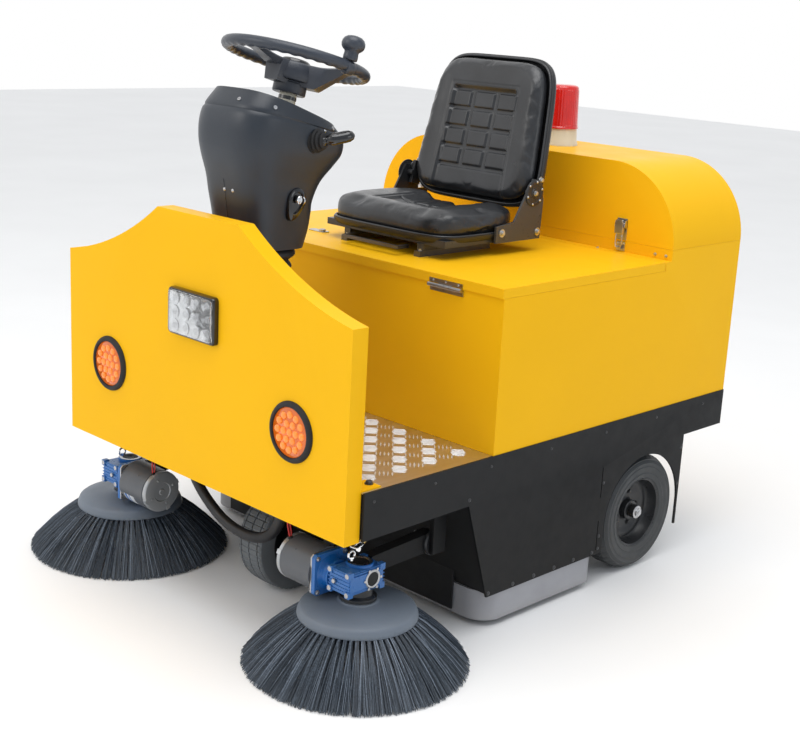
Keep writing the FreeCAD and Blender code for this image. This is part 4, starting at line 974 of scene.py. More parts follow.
def controls():
    """Direction lever in its ribbed boot, key switch in a drop-shaped bezel, and the pedals."""
    turn = towards((0.42, 0.87, 0.20))
    root = Vector((134, 238, 1083))
    boot = Shape()
    inward = Vector((0.95, 0.28, 0.05)).normalized()
    ribs = [(28, -24), (28, -16), (24.5, -14.5), (24.5, -11), (27, -9.5), (24.6, -7), (20, -6.0), (20, -3),
            (23, -1.5), (20.6, 1), (15.8, 2), (15.8, 5), (18.4, 6.5), (15.8, 9), (9, 10)]
    boot.lathe(ribs + [(0, 10)], towards(inward), root - inward * 6, 40)
    boot.done("lever_boot", "chassis", "black_rubber", "rubber", sharp=60)
    lever = Shape()
    profile = [(0, 2), (7, 2), (7, 8), (10, 11), (13.2, 18), (14.6, 30), (15, 46), (14.2, 58), (10.5, 66),
               (5, 69.5), (0, 70)]
    lever.lathe(profile, turn, root, 36, lambda r, h, a: r * (1 - 0.12 * abs(math.sin(a)) * (h > 20)))
    lever.lathe([(0, -10), (8, -9), (11, -4), (11, 1), (8, 4), (0, 5)], turn, root, 24)
    lever.done("shift_lever", "direction", "gloss_black", "gloss_black", sharp=50, replaces="direction_lever")

    bezel = Shape()
    outline = []
    for i in range(40):
        a = math.tau * i / 40
        pull = 1 + 0.62 * max(0.0, -math.sin(a)) ** 1.6
        outline.append((23 * math.cos(a) - 13 * max(0.0, -math.sin(a)) ** 2, 25 * math.sin(a) * pull))
    rings = []
    for grow, depth in ((1.12, -9), (1.12, 0.5), (1.06, 4.5), (0.94, 6.4), (0.74, 6.8), (0.70, 5.4),
                        (0.66, 2.0)):
        rings.append([Vector((97 + depth, 197 + u * grow, 952 + v * grow)) for u, v in outline])
    bezel.grid(rings, caps=True)
    bezel.done("key_bezel", "chassis", "black_plastic", "gloss_black", sharp=35)
    key = Shape()
    key.lathe([(0, 0), (9, 0), (9, 5.6), (7.6, 7), (0, 7)], ALONG["x"], (103.5, 197, 954), 32)
    key.prism([(-1.6, -8), (1.6, -8), (2.2, -3), (7.5, 0), (8.6, 6), (5.0, 10.6), (0, 11.6), (-5, 10.6),
               (-8.6, 6), (-7.5, 0), (-2.2, -3)], -1.2, 1.2, Matrix(((0, 1, 0), (0, 0, 1), (1, 0, 0))),
               (114, 197, 954))
    key.done("key_and_barrel", "key", "chrome_trim", "chrome", bevel=0.3, sharp=40, replaces="ignition_key")

    for node, body, x in (("brake_pedal", "brake", 95), ("accelerator_pedal", "accelerator", -150)):
        pedal = Shape()
        start, ahead = Vector((x + 27.5, 171, 452)), Vector((0, -78, 56)).normalized()
        normal = Vector((0, 56, 78)).normalized()
        frame_turn = Matrix(((1, 0, 0), ahead, normal)).transposed()
        pedal.box(-22.5, 0, -5, 22.5, 96, 1.5, frame_turn, start)
        for k in range(11):
            low = 4 + k * 8.2
            pedal.prism([(-21, low), (21, low), (20, low + 4.4), (-20, low + 4.4)], 1.5, 4.2, frame_turn,
                        start)
        pedal.tube([(x, 165, 446), (x + 55, 165, 446)], 4, 16)
        pedal.done(node + "_pad", body, "black_rubber", "rubber", bevel=0.7, replaces=node)


# ---------------------------------------------------------------- wheels

def drive_wheel():
    """Solid grey tyre with three grooves round it and rows of long cross sipes."""
    shape = Shape()
    half, sipes = 42.5, 52
    centre = (*FORK, DRIVE_R)

    def cut(radius, height, angle):
        """Sipes reach the tread only."""
        sipe = 1.8 if (angle * sipes / math.tau) % 1.0 < 0.14 else 0.0
        return radius - sipe if radius > 119 and abs(height) < half - 2 else radius

    heights = [-half + 6, -30.6, -30.4, -27.6, -27.4, -14, -1.6, -1.4, 1.4, 1.6, 14, 27.4, 27.6, 30.4, 30.6,
               half - 6]
    outer = []
    for h in heights:
        crown = 2.0 * (h / half) ** 2
        groove = 3.4 if abs(abs(h) - 29) < 1.5 or abs(h) < 1.5 else 0.0
        outer.append((DRIVE_R - crown - groove, h))
    wall = [(80, -half + 2), (92, -half), (112, -half), (120, -half + 2)]
    profile = wall + outer + [(r, -h) for r, h in reversed(wall)]
    shape.lathe(profile, ALONG["x"], centre, sipes * 8, cut)
    shape.index = 1
    shape.lathe([(12.2, -40), (30, -40), (31, -34), (31, -12), (42, -10), (62, -12), (70, -20), (74, -38),
                 (80, -40), (80, 40), (74, 38), (70, 20), (62, 12), (42, 10), (31, 12), (31, 34), (30, 40),
                 (12.2, 40)],
                ALONG["x"], centre, 64)
    shape.done("drive_tyre", "front_wheel", "tyre_grey", ["tread", "black"], sharp=28, replaces="drive_wheel")
    hubs = Shape()
    for s in (1, -1):
        for y, z in around(5, 50):
            hubs.bolt((FORK[0] + s * 11, FORK[1] + y, DRIVE_R + z), (s, 0, 0), 5)
    hubs.done("drive_wheel_nuts", "front_wheel", "steel_plain", "steel", sharp=40)

    motor = Shape()
    root = (FORK[0] - 58, FORK[1], DRIVE_R)
    motor.lathe([(0, 0), (48, 0), (51.5, 2), (51.5, 9), (49.5, 10), (49.5, 12), (51.5, 13), (51.5, 50),
                 (49.5, 51.5), (49.5, 54), (46, 58), (43, 60), (43, 65.5), (0, 66)], ALONG["-x"], root, 64)
    for k in range(16):
        a = math.tau * k / 16
        motor.box(51, -1.6, 16, 53.6, 1.6, 48, ALONG["-x"] @ rot(math.degrees(a), "Z"), root)
    motor.done("drive_motor_body", "fork", "motor_grey", "motor", bevel=0.5, sharp=35, replaces="drive_motor")
    bolts = Shape()
    for y, z in around(4, 34, 0.5):
        bolts.bolt((root[0] - 58, root[1] + y, DRIVE_R + z), (-1, 0, 0), 4.2)
    for s in (1, -1):
        x = FORK[0] + s * 58
        bolts.bolt((x, FORK[1], DRIVE_R), (s, 0, 0), 13)
        for z in (242, 258):
            for shift in (-18, 18):
                bolts.bolt((x, FORK[1] + shift, z), (s, 0, 0), 5)
    bolts.done("fork_bolts", "fork", "steel_plain", "steel", sharp=40)


def rear_wheels():
    """Black tyre with ridged walls on a deep pressed rim, hub cap with a hex nut."""
    for side, s in SIDES:
        centre = (s * 416, 1035, 150.5)
        turn = OUTWARD[s]
        tyre = Shape()
        wall = [(90, 6), (93, 3.0), (100, 1.6), (104, 0.4), (106, 1.6), (112, 1.2), (114, 0.2), (121, 0.2),
                (123, 1.4), (129, 1.4), (131, 0.4), (134, 2.6), (138, 5.4), (141, 4.8), (143, 9), (146, 12),
                (147.6, 16.0)]
        tread = []
        for low in (20.0, 28.4, 36.8, 45.2, 53.6, 62.0):
            tread += [(150.5, low), (150.5, low + 6.0), (147.6, low + 6.4), (147.6, low + 8.0)]
        profile = wall + tread[:-2] + [(r, 88 - h) for r, h in reversed(wall)]
        sipes = 44

        def cut(radius, height, angle):
            """Slanting sipes across the tread."""
            phase = (angle * sipes / math.tau + height * 0.012) % 1.0
            return radius - (2.2 if phase < 0.16 and radius > 145 else 0.0)

        tyre.lathe(profile, turn, centre, sipes * 6, cut)
        tyre.done("rear_tyre_body_" + side, "rear_wheel_" + side, "tyre_black", "tyre", sharp=30,
                  replaces="rear_tyre_" + side)
        rim = Shape()
        face = [(12, 62), (23.5, 62), (26, 60), (26, 44), (30, 41.5), (52, 43), (60, 47), (68, 50), (76, 50),
                (81, 56), (84, 74), (85.5, 80), (89.5, 82.5), (90.6, 80), (90, 76), (90, 12), (90.6, 8),
                (89.5, 5.5), (85.5, 7), (84, 12), (80, 38), (66, 40), (36, 34), (34, 30), (34, 9), (12, 9),
                (12, 62)]
        rim.lathe(face, turn, centre, 72)
        for u, v in around(5, 45, 0.3):
            rim.bolt(Vector(centre) + turn @ Vector((u, v, 42.6)), (s, 0, 0), 5.4)
        rim.bolt(Vector(centre) + turn @ Vector((78, 8, 56)), (s, 0, 0), 2.4)
        rim.done("rear_rim_disc_" + side, "rear_wheel_" + side, "black_paint", "black_fine", bevel=0.6,
                 replaces="rear_rim_" + side)
        cap = Shape()
        hub = Vector(centre) + turn @ Vector((0, 0, 80.4))
        cap.lathe([(0, 0), (16.8, 0), (16.8, 0.8), (15.5, 1.4), (0, 1.4)], turn, hub, 32)
        cap.lathe([(0, 1.4), (11.6, 1.4), (11.6, 6.4), (10, 7.4), (6, 7.4), (6, 9.2), (0, 9.4)], turn, hub, 6)
        cap.done("axle_nut_" + side, "chassis", "steel_plain", "steel", sharp=30)


# ---------------------------------------------------------------- brushes

def tuft(shape, points, radius, steps=3):
    """One filament or bundle: a thin tapered bar with open ends."""
    radii = [radius * (1 - 0.25 * i / (len(points) - 1)) for i in range(len(points))]
    shape.tube(points, radii, steps, caps=False)


def side_brush(side, s):
    """Domed disc with a skirt of filaments that droop outwards to the floor."""
    chance = random.Random(7 if s > 0 else 8)
    centre = Vector((s * BRUSH[0], BRUSH[1], 0))
    cap = Shape()
    cap.lathe([(0, 126), (110, 108), (124, 108), (130.5, 110.5), (131.5, 114), (130.8, 119), (128.4, 124),
               (126.5, 129), (122, 132.5), (96, 137.5), (66, 142), (47, 144.4), (44, 145.5), (42, 148),
               (0, 148)],
              None, centre, 96)
    cap.done("brush_disc_" + side, "brush_" + side, "bristle", "disc", sharp=35)
    hub = Shape()
    hub.lathe([(0, 148), (38, 148), (38, 151.4), (36.5, 152), (12.4, 152), (12.4, 189), (0, 189)], None,
              centre, 48)
    for k in range(4):
        a = math.tau * k / 4 + 0.5
        hub.bolt(centre + Vector((28 * math.cos(a), 28 * math.sin(a), 152)), (0, 0, 1), 4.6)
    hub.done("brush_flange_" + side, "brush_" + side, "steel_plain", "steel", sharp=40)

    hair = Shape()
    bunches = 66
    for count, root_r, root_z, tip_r, low in ((2000, 122, 116, 247.6, 1.2), (1400, 113, 111, 240, 1.0),
                                              (800, 104, 108, 231, 1.0)):
        for i in range(count):
            a = math.tau * (i + chance.uniform(-0.5, 0.5)) / count
            nearest = round(a / math.tau * bunches) / bunches * math.tau
            start = a * 0.45 + nearest * 0.55
            end = a * 0.72 + nearest * 0.28
            twist = chance.gauss(0, 0.022)
            hair.index = chance.choice((0, 0, 0, 1, 1, 2))
            reach = tip_r + chance.uniform(-8.5, 1.6)
            lift = low + chance.random() ** 2 * 7
            points = []
            for t in (0.0, 0.22, 0.48, 0.75, 1.0):
                r = root_r + (reach - root_r) * t
                droop = root_z + (lift - root_z) * (0.70 * t + 0.30 * t * t)
                spread = start + (end - start) * smooth(t * 1.3) + twist * t
                points.append(centre + Vector((r * math.cos(spread), r * math.sin(spread), droop)))
            tuft(hair, points, 0.95)
    hair.done("brush_bristles_" + side, "brush_" + side, "bristle", ["bristle", "bristle_dark",
                                                                     "bristle_light"],
              sharp=80, replaces="side_brush_" + side)


def worm_drive(side, s):
    """Ribbed worm reducer with its motor flange, machined bosses and bolts."""
    centre = Vector((s * BRUSH[0], BRUSH[1], 0))
    x0, x1 = sorted((s * 392, s * 459))
    shape = Shape()
    shape.box(x0 + 3, 62, 176, x1 - 3, 161, 226)
    for k in range(6):
        z = 181 + k * 8
        shape.box(x0 + 0.5, 60, z, x1 - 0.5, 163.5, z + 2.6)
    for x in (x0, x1 - 13):
        for y in (58, 150):
            for z in (172, 215):
                shape.box(x, y, z, x + 13, y + 14.5, z + 14.5)
    for x in (x0, x1 - 6):
        shape.box(x, 64, 184, x + 6, 158, 218)
    shape.index = 1
    shape.lathe([(0, 149.5), (40.5, 149.5), (40.5, 156), (37, 158), (31, 161), (29, 176), (0, 176)], None,
                centre, 64)
    shape.index = 0
    shape.lathe([(0, 226), (30, 226), (30, 232.5), (27.5, 233.8), (24.5, 233.8), (23.5, 232), (0, 232)], None,
                centre, 64)
    near = Vector((s * 391.8, *SHAFT))
    neck = INWARD[s]
    shape.lathe([(0, 0), (34, 0), (34, 4), (30, 8), (32, 16), (41, 24.6), (0, 24.6)], neck, near, 48)
    square = [(-46.5, -40), (-40, -46.5), (40, -46.5), (46.5, -40), (46.5, 40), (40, 46.5), (-40, 46.5),
              (-46.5, 40)]
    shape.prism(square, 24, 34.6, neck, near)
    shape.done("worm_case_" + side, "arm_" + side, "blue_casting", ["blue", "black_fine"], bevel=1.6,
               sharp=32, replaces="reducer_" + side)

    metal = Shape()
    outer, eye_y, eye_z = s * 459.6, 128, 201
    metal.lathe([(15.5, -3), (21.5, -3), (21.5, 0.2), (19.8, 1.2), (17, 1.2), (15.5, 0.2), (15.5, -3)],
                OUTWARD[s], (outer, eye_y, eye_z), 48)
    for y, z in around(6, 23.4):
        metal.lathe([(0, 0.4), (3.2, 0.4), (3.2, 1.4), (1.6, 1.6), (0, 1.0)], OUTWARD[s],
                    (outer, eye_y + y, eye_z + z), 16)
    metal.lathe([(19, 231.8), (27.5, 232.5), (27.5, 233.9), (21, 234), (19, 231.8)], None, centre, 48)
    for y in (72, 150):
        for z in (179.5, 222.4):
            for x in (x0 + 6.5, x1 - 6.5):
                metal.lathe([(0, 0), (5.6, 0), (5.6, 0.5), (3.2, 0.5), (3.0, -0.6), (0, -0.6)],
                            ALONG["-y"] if y < 100 else ALONG["y"], (x, 57.8 if y < 100 else 164.7, z), 16)
    metal.lathe([(0, 0), (6.0, 0), (6.0, 3.0), (4.8, 4.4), (0, 4.4)], ALONG["-y"], (s * 413, 59.6, 200), 6)
    metal.prism(square, 34.7, 38.5, neck, near)
    for u in (-38, 38):
        for v in (-38, 38):
            metal.bolt(near + neck @ Vector((u, v, 24)), neck @ Vector((0, 0, -1)), 4.6)
    for x, y in around(4, 34, 0.5):
        metal.bolt(centre + Vector((x, y, 149.8)), (0, 0, 1), 3.6)
    metal.done("worm_trim_" + side, "arm_" + side, "steel_plain", "steel", bevel=0.3, sharp=40)
    dark = Shape()
    dark.lathe([(0, 0.1), (15.6, 0.1), (15.6, 0.8), (0, 0.6)], OUTWARD[s], (outer - s, eye_y, eye_z), 32)
    dark.lathe([(0, 232.1), (19.4, 232.1), (18.6, 233.2), (7, 233.4), (6, 232.6), (0, 232.6)], None, centre,
               40)
    dark.done("worm_seals_" + side, "arm_" + side, "black_rubber", "rubber", sharp=40)


def brush_motor(side, s):
    """Round motor with a cast end cap and leads; the right one has a sticker without text."""
    near = Vector((s * 353, *SHAFT))
    turn = INWARD[s]
    body = Shape()
    body.lathe([(0, 0.2), (51.6, 0.2), (51.6, 94), (49, 95.6), (0, 95.6)], turn, near, 80)
    for u, v in around(4, 50.6, 0.5):
        body.rivet(near + turn @ Vector((u, v, 60)), turn @ Vector((u, v, 0)), 3.0)
    body.done("motor_can_" + side, "arm_" + side, "motor_grey", "motor", sharp=35,
              replaces="brush_motor_" + side)
    cap = Shape()
    cap.lathe([(0, 95.7), (50, 95.7), (51, 96.6), (51, 105), (48.6, 107.4), (38, 108.6), (24, 108.8),
               (23, 106.6), (8, 106.6), (7, 108.6), (0, 108.6)], turn, near, 80)
    for k in range(4):
        a = math.tau * (k + 0.25) / 4
        cap.box(40, -5.5, 95.8, 51.6, 5.5, 108.4, turn @ rot(math.degrees(a), "Z"), near)
        cap.bolt(near + turn @ Vector((33 * math.cos(a), 33 * math.sin(a), 108.2)), turn @ Vector((0, 0, 1)),
                 2.8)
    cap.done("motor_cap_" + side, "arm_" + side, "motor_grey", "motor_cap", bevel=0.8, sharp=35)
    for shift in (0, 7):
        wire = Shape()
        wire.tube([(s * 256, 70 + shift * 0.6, 244 - shift * 0.4), (s * 254, 68 + shift, 256),
                   (s * 252, 66 + shift, 270), (s * 250, 66 + shift, 286), (s * 250, 68 + shift, 305)], 1.7,
                   8)
        wire.done("motor_lead_%s_%d" % (side, shift), "arm_" + side, "red_lens", "red_wire", sharp=60)
    gland = Shape()
    gland.lathe([(0, -2), (6.4, -2), (6.4, 2), (4.4, 4), (0, 4)], None, (s * 256, 72, 243.5), 24)
    gland.done("motor_gland_" + side, "arm_" + side, "black_rubber", "rubber", sharp=50)
    if s < 0:
        sticker = Shape()
        for index, low, high in ((0, 14, 56), (1, 18, 27), (1, 34, 38)):
            sticker.index = index
            grow = 51.75 + 0.12 * index
            rows = []
            for h in (low, high):
                rows.append([near + turn @ Vector((grow * math.cos(a), grow * math.sin(a), h))
                             for a in (math.radians(-70 + 100 * i / 16) for i in range(17))])
            sticker.grid(rows, close_u=False)
        sticker.done("motor_sticker", "arm_" + side, "chrome_trim", ["label_white", "label_blue"], sharp=80)


def arm_details(side, s):
    """Pivot bolts and boss of the brush arm."""
    shape = Shape()
    for x in (s * 386.4, s * 372.2):
        shape.bolt((x, *ARM_PIVOT), (-s, 0, 0), 11)
    shape.done("arm_pivot_bolt_" + side, "chassis", "steel_plain", "steel", sharp=40)
    boss = Shape()
    boss.lathe([(0, 0), (30, 0), (30, 6), (27, 9), (20, 10), (0, 10)], OUTWARD[s],
               (s * 417.3, *ARM_PIVOT), 48)
    boss.done("arm_boss_" + side, "arm_" + side, "black_paint", "black_fine", bevel=0.6)


def lift_tackle(side, s):
    """Eye bolt, shackle, ferrule and red sleeve of the lift cable above each reducer."""
    base = Vector((s * 424, 96, 246))
    turn = towards((s * -0.05, 0.93, 0.36))
    metal = Shape()
    loop = [base + Vector((0, 9 * math.cos(a), 9 * math.sin(a) + 6))
            for a in (math.tau * i / 24 for i in range(25))]
    metal.tube(loop, 2.6, 10)
    metal.lathe([(0, -6), (4, -6), (4, 0), (7.5, 0), (7.5, 3), (0, 3)], None, base, 6)
    shackle = base + Vector((0, 7, 19))
    bow = [shackle + turn @ Vector((8 * math.cos(a), 0, 13 + 12 * math.sin(a)))
           for a in (math.radians(-60 + 300 * i / 24) for i in range(25))]
    metal.tube(bow, 2.6, 10)
    metal.tube([shackle + turn @ Vector((x, 0, 2)) for x in (-12, 12)], 2.8, 12)
    metal.lathe([(0, 0), (5.4, 0), (5.4, 4), (0, 4)], turn @ rot(90, "Y"), shackle + turn @ Vector((9, 0,
                                                                                                    2)), 6)
    metal.done("lift_shackle_" + side, "arm_" + side, "chrome_trim", "chrome", sharp=50)
    ferrule = Shape()
    ferrule.lathe([(0, 24), (6.2, 24), (6.2, 34), (5.0, 36), (5.0, 42), (0, 42)], turn, shackle, 24)
    ferrule.done("lift_ferrule_" + side, "arm_" + side, "steel_plain", "brass", sharp=40)
    blue = Shape()
    blue.lathe([(0, 42), (5.6, 42), (5.6, 47), (0, 47)], turn, shackle, 24)
    blue.done("lift_collar_" + side, "arm_" + side, "blue_casting", "blue", sharp=40)
    sleeve = Shape()
    sleeve.lathe([(0, 47), (6.8, 47), (6.4, 57), (4.6, 78), (2.2, 103), (0, 104)], turn, shackle, 24)
    sleeve.done("lift_sleeve_" + side, "arm_" + side, "red_lens", "red_wire", sharp=50)


def main_brush():
    """Core tube packed with bristle tufts in two opposed spirals."""
    chance = random.Random(3)
    shape = Shape()
    axis_y, axis_z, half = 640, 150, 468
    shape.lathe([(0, -482.5), (12, -482.5), (12, -half), (60, -half), (60, half), (12, half), (12, 482.5),
                 (0, 482.5)],
                ALONG["x"], (0, axis_y, axis_z), 48)
    rows, pitch = 12, 13.0
    for row in range(rows):
        for i in range(int(2 * half / pitch)):
            x = -half + (i + 0.5) * pitch
            a = math.tau * row / rows + 0.5 * abs(x) / half * math.tau
            for k in range(5):
                b = a + chance.uniform(-0.10, 0.10)
                shift = chance.uniform(-6, 6)
                root = Vector((x + shift * 0.3, axis_y + 58 * math.cos(b), axis_z + 58 * math.sin(b)))
                c = b + chance.uniform(-0.05, 0.05)
                reach = chance.uniform(143, 149.4)
                end = Vector((x + shift, axis_y + reach * math.cos(c), axis_z + reach * math.sin(c)))
                tuft(shape, [root, end], 1.9)
    shape.done("roller_bristles", "roller", "bristle", "bristle", sharp=80, replaces="main_brush")


def skirt():
    """Grey rubber skirt round the main brush, uneven along its lower edge, and the flap before it."""
    out, bend, front, rear = 504.5, 60, 443, 833
    line = [(out, rear)]
    line += [(out, front + bend + (rear - front - bend) * (1 - i / 16)) for i in range(1, 17)]
    line += [(out - bend + bend * math.cos(a), front + bend - bend * math.sin(a))
             for a in (math.radians(90 * i / 8) for i in range(1, 9))]
    right = [(-x, y) for x, y in reversed(line)]
    middle = [((out - bend) * (1 - 2 * i / 24), front) for i in range(1, 24)]
    path = line + middle + right
    shape = Shape()
    rings = []
    for i, (x, y) in enumerate(path):
        before, after = path[max(i - 1, 0)], path[min(i + 1, len(path) - 1)]
        way = Vector((after[0] - before[0], after[1] - before[1])).normalized()
        normal = Vector((way.y, -way.x))
        if normal.x * x < 0 or (abs(x) < out - bend and normal.y > 0):
            normal = -normal
        wave = 1.4 * noise.noise(Vector((x * 0.01, y * 0.01, 0)))
        ring = []
        for offset, z in ((0, 89), (0, 60), (0, 30), (0.2, 17), (-0.6, 15.4), (-4.4, 15.4), (-5, 17),
                          (-5, 60), (-5, 89)):
            sway = wave * (89 - z) / 74
            ring.append((x + normal.x * (offset - abs(sway)), y + normal.y * (offset - abs(sway)), z))
        rings.append(ring)
    shape.grid(rings, caps=True)
    shape.done("skirt_rubber", "chassis", "grey_rubber", "skirt", sharp=40, replaces="rubber_skirt")
    flap = Shape()
    flap.box(-412, 436.8, 24, 412, 441.2, 122)
    flap.done("front_flap", "chassis", "black_rubber", "rubber", bevel=0.8)


# ---------------------------------------------------------------- seat

def baked(piece):
    """Replace the piece's mesh by what its modifiers make of it."""
    graph = bpy.context.evaluated_depsgraph_get()
    mesh = bpy.data.meshes.new_from_object(piece.evaluated_get(graph))
    piece.modifiers.clear()
    piece.data = mesh


def plump(piece, most):
    """Swell a sewn cover: even remesh, cloth under pressure, each point's travel capped at MOST metres."""
    remesh = piece.modifiers.new("remesh", "REMESH")
    remesh.mode = "VOXEL"
    remesh.voxel_size = 0.005
    baked(piece)
    start = [v.co.copy() for v in piece.data.vertices]
    cloth = piece.modifiers.new("cloth", "CLOTH")
    cloth.settings.use_pressure = True
    cloth.settings.uniform_pressure_force = 4.0
    cloth.settings.effector_weights.gravity = 0
    cloth.settings.tension_stiffness = 25
    cloth.settings.bending_stiffness = 2
    for step in range(1, 21):
        bpy.context.scene.frame_set(step)
    baked(piece)
    bpy.context.scene.frame_set(1)
    for vertex, origin in zip(piece.data.vertices, start):
        travel = vertex.co - origin
        if travel.length > most:
            vertex.co = origin + travel * (most / travel.length)
    finer = piece.modifiers.new("finer", "SUBSURF")
    finer.levels = finer.render_levels = 1
    baked(piece)


def groove(distance, width):
    """1 in the middle of a seam, falling to 0 at WIDTH."""
    return max(0.0, 1 - (distance / width) ** 2) ** 1.5 if abs(distance) < width else 0.0


def finish_pad(piece, name, body, node):
    """Leather, and what the frame has to know about a padded piece."""
    piece.data.shade_smooth()
    piece.data.materials.clear()
    piece.data.materials.append(M["leather"])
    piece.name = name
    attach(piece, body)
    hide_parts(node)


def raw_pad(rings, place):
    """Closed cover in metres, ready to be swollen."""
    shape = Shape(place)
    shape.grid(rings, caps=True)
    bmesh.ops.transform(shape.bm, matrix=place, verts=shape.bm.verts)
    bmesh.ops.triangulate(shape.bm, faces=shape.bm.faces)
    bmesh.ops.recalc_face_normals(shape.bm, faces=shape.bm.faces)
    mesh = bpy.data.meshes.new("pad")
    shape.bm.to_mesh(mesh)
    shape.bm.free()
    return linked("pad", mesh)


def seat_cushion():
    """Rolled bolsters round a dished middle with sewn channels, notched at the middle of its rear edge."""
    half_x, half_y, high = 207, 146, 58
    place = frame_at(SEAT_X, 685, 848.6)

    def top(x, y):
        inner = smooth((112 - abs(x)) / 34) * smooth((y + 78) / 40)
        front = smooth((-y - 96) / 52)
        return high - 17 * inner - 12 * front + 3 * smooth((abs(x) - 100) / 60)

    def row(grow, level=None, below=0.0):
        return [Vector((u * grow, v * grow, level if level is not None else top(u * grow, v * grow) - below))
                for u, v in superellipse(112, half_x, half_y, 5.0)]

    rings = [row(0.03, 0), row(0.5, 0), row(0.93, 0), row(0.975, 3), row(0.99, 12), row(1.0, 24),
             row(0.992, below=13), row(0.975, below=6), row(0.95, below=2), row(0.91, below=0)]
    rings += [row(0.91 - 0.08 * i) for i in range(1, 11)] + [row(0.04)]
    piece = raw_pad(rings, place)
    plump(piece, 0.006)
    inverse = place.inverted()
    for vertex in piece.data.vertices:
        spot = inverse @ vertex.co
        if spot.z < 20:
            continue
        x, y = spot.x, spot.y
        inside = smooth((104 - abs(x)) / 8) * smooth((y + 60) / 10)
        sewn = sum(groove(x - line, 6) for line in (-52, 0, 52)) * smooth((y + 40) / 6)
        sewn = max(sewn, groove(y - 20, 6), groove(y + 44, 6))
        edge = max(groove(abs(x) - 106, 5) * smooth((y + 70) / 10), groove(y + 72,
                                                                           5) * smooth((110 - abs(x)) / 6))
        notch = groove(x - 6, 24) * smooth((y - 82) / 26)
        crease = 0.6 * noise.noise(Vector((x * 0.02, y * 0.03, 4)))
        spot.z -= 3.4 * inside * sewn + 2.6 * edge + 17 * notch + crease
        vertex.co = place @ spot
    finish_pad(piece, "seat_cushion_cover", "seat", "seat_cushion")

    tray = Shape(frame_at(SEAT_X, 685, 838))
    loops = []
    for grow, level in ((0.90, 0), (0.985, 2), (1.005, 6), (1.018, 12), (1.022, 16.5), (1.012, 17),
                        (0.99, 14)):
        loops.append([Vector((u * grow, v * grow, level)) for u, v in superellipse(112, half_x, half_y, 5.0)])
    tray.grid(loops)
    tray.done("seat_tray", "seat", "seat_shell", "shell", sharp=50)
    welt = Shape(frame_at(SEAT_X, 685, 854))
    line = [Vector((u, v, 2.2)) for u, v in superellipse(112, half_x, half_y, 5.0)]
    welt.tube(line + line[:2], 3.0, 10, caps=False)
    welt.done("seat_welt", "seat", "black_leather", "leather", sharp=70)


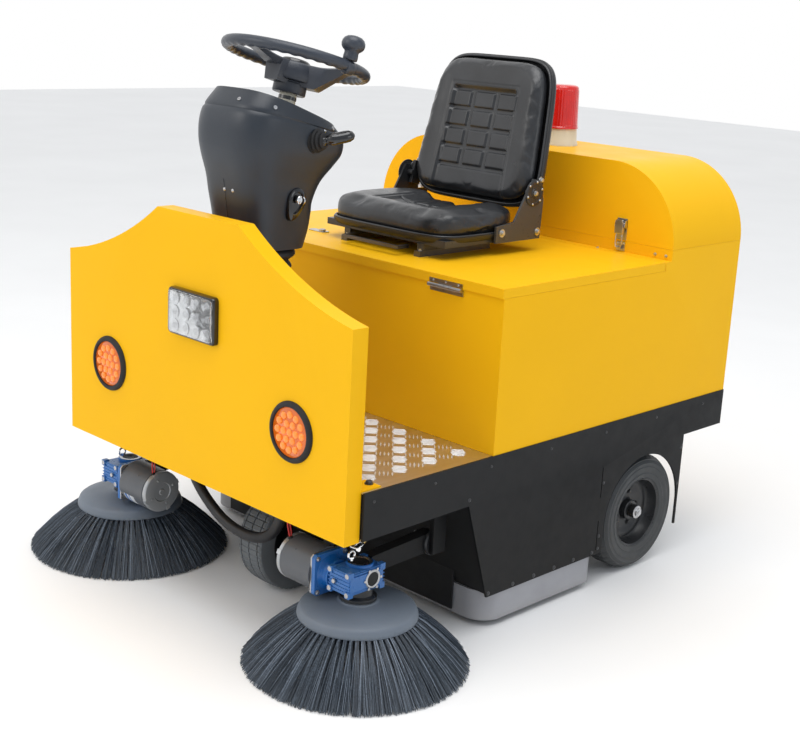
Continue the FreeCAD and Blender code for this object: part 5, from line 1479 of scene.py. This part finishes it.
def backrest():
    """Rolled frame round a recessed panel of three by four raised squares, over a plain lower panel."""
    place = frame_at(SEAT_X, *RECLINE, rot(-13, "X"))
    half_x, half_z, middle = 203, 178, 144

    def front(x, z):
        return -6 + 2.5 * smooth((abs(x) - 130) / 50)

    def taper(z):
        return 1 - 0.15 * min(1.0, max(0.0, (z - 20) / 300)) ** 1.2 - 0.02 * smooth((30 - z) / 62)

    def row(grow, level=None, behind=0.0):
        points = []
        for u, v in superellipse(120, half_x, half_z, 6.0):
            z = middle + v * grow
            x = u * grow * taper(z)
            points.append(Vector((x, level if level is not None else front(x, z) + behind, z)))
        return points

    rings = [row(0.03, 27), row(0.5, 27), row(0.94, 27), row(0.985, 24), row(1.0, 16), row(1.0, 8),
             row(0.985, behind=7), row(0.96, behind=2.5), row(0.92, behind=0)]
    rings += [row(0.92 - 0.08 * i) for i in range(1, 11)] + [row(0.04)]
    piece = raw_pad(rings, place)
    plump(piece, 0.007)
    inverse = place.inverted()
    panel_low, panel_high, panel_half = -40, 248, 123
    rows_z = [62 + 49 * k for k in range(4)]
    for vertex in piece.data.vertices:
        spot = inverse @ vertex.co
        x, z = spot.x, spot.z
        if spot.y > 12:
            continue
        half = panel_half - 0.045 * (z - panel_low)
        inside = smooth((half - abs(x)) / 15) * smooth((panel_high - z) / 17)
        edge = groove(abs(x) - half - 1, 5) * smooth((panel_high + 6 - z) / 6)
        edge = max(edge, groove(z - panel_high - 1, 5) * smooth((half + 5 - abs(x)) / 6))
        roll = 5.0 * math.exp(-((abs(x) - 162) / 30) ** 2) * smooth((305 - z) / 60)
        depth = 11.0 * inside + 1.2 * edge
        for rz in rows_z:
            for rx in (-78, 0, 78):
                reach_x, reach_z = 32 - abs(x - rx), 19.5 - abs(z - rz)
                corner = min(reach_x, reach_z)
                if corner > -2:
                    depth -= 5.2 * smooth((corner + 2) / 5.0)
        lower = smooth((35 - z) / 6) * smooth((half - 6 - abs(x)) / 6)
        depth -= 4.2 * lower * inside
        depth += 0.8 * noise.noise(Vector((x * 0.015, z * 0.015, 9)))
        spot.y += depth - roll * (1 - inside)
        vertex.co = place @ spot
    finish_pad(piece, "backrest_cover", "backrest", "backrest_pad")

    shell = Shape(place)
    loops = []
    for grow, level in ((1.03, 22), (1.052, 23.5), (1.058, 28), (1.05, 36), (1.02, 43), (0.96, 47),
                        (0.85, 48.4), (0.6, 48.4), (0.3, 47.0), (0.03, 46.6)):
        loops.append([Vector((p.x, level, p.z)) for p in row(grow, level)])
    inner = [[Vector((p.x, level, p.z)) for p in row(grow, level)]
             for grow, level in ((0.03, 40), (0.9, 40), (1.0, 32), (1.02, 24))]
    shell.grid(inner + loops, caps=True)
    for s in (1, -1):
        shell.box(min(s * 199, s * 209), 2, -26, max(s * 199, s * 209), 34, 34)
    for k in range(3):
        shell.box(-110, 47.5, 40 + k * 90, 110, 49.5, 60 + k * 90)
    shell.done("backrest_pan", "backrest", "seat_shell", "shell", bevel=1.0, sharp=40,
               replaces="backrest_shell")
    welt = Shape(place)
    line = [Vector((p.x * 1.018, 20.5, middle + (p.z - middle) * 1.018)) for p in row(1.0, 20)]
    welt.tube(line + line[:2], 3.2, 10, caps=False)
    welt.done("backrest_welt", "backrest", "black_leather", "leather", sharp=70)

    metal = Shape(place)
    for s in (1, -1):
        for y, z in ((8, 20), (26, 36)):
            metal.lathe([(0, 0), (9, 0), (9, 1.6), (0, 1.6)], OUTWARD[s],
                        (s * 209.4, y, z), 24)
            metal.bolt((s * 210.8, y, z), (s, 0, 0), 5.4)
    metal.done("backrest_bolts", "backrest", "zinc_steel", "zinc", sharp=40)


def recliners():
    """Disc recliner joints, their bolts and rivets, and the bolts of the seat's side plates."""
    disc = Shape()
    metal = Shape()
    for s in (1, -1):
        x = SEAT_X + s * 218.2
        turn = OUTWARD[s]
        disc.lathe([(0, 0), (33, 0), (33, 2.2), (31, 3.4), (24, 3.4), (23, 2.4), (12, 2.4), (11, 4.2),
                    (0, 4.2)],
                   turn, (x, *RECLINE), 48)
        for k in range(6):
            a = math.tau * k / 6 + 0.3
            spot = (x + s * 3.4, RECLINE[0] + 27.5 * math.cos(a), RECLINE[1] + 27.5 * math.sin(a))
            metal.rivet(spot, (s, 0, 0), 3.0)
        metal.bolt((x + s * 4.2, *RECLINE), (s, 0, 0), 5.5)
        for y, z in ((735, 856), (868, 850)):
            metal.lathe([(0, 0), (10, 0), (10, 1.8), (0, 1.8)], turn, (x, y, z), 28)
            metal.bolt((x + s * 1.8, y, z), (s, 0, 0), 5.6)
    disc.done("recliner_discs", "seat", "seat_shell", "black_fine", bevel=0.5)
    metal.done("recliner_bolts", "seat", "zinc_steel", "zinc", sharp=40)
    feet = Shape()
    for x in (-112, 141):
        for y in (552, 778):
            feet.bolt((x, y, 816), (0, 0, 1), 5.0)
    feet.done("seat_rail_bolts", "lid", "zinc_steel", "zinc", sharp=40)


# ---------------------------------------------------------------- all of it

camera()
studio()
conduit()
folded_body()
chequer()
rivets()
latches()
headlight()
turn_lamps()
beacon()
steering_wheel()
cowl()
bellows()
controls()
drive_wheel()
rear_wheels()
for side, sign in SIDES:
    side_brush(side, sign)
    worm_drive(side, sign)
    brush_motor(side, sign)
    arm_details(side, sign)
    lift_tackle(side, sign)
main_brush()
skirt()
seat_cushion()
backrest()
recliners()
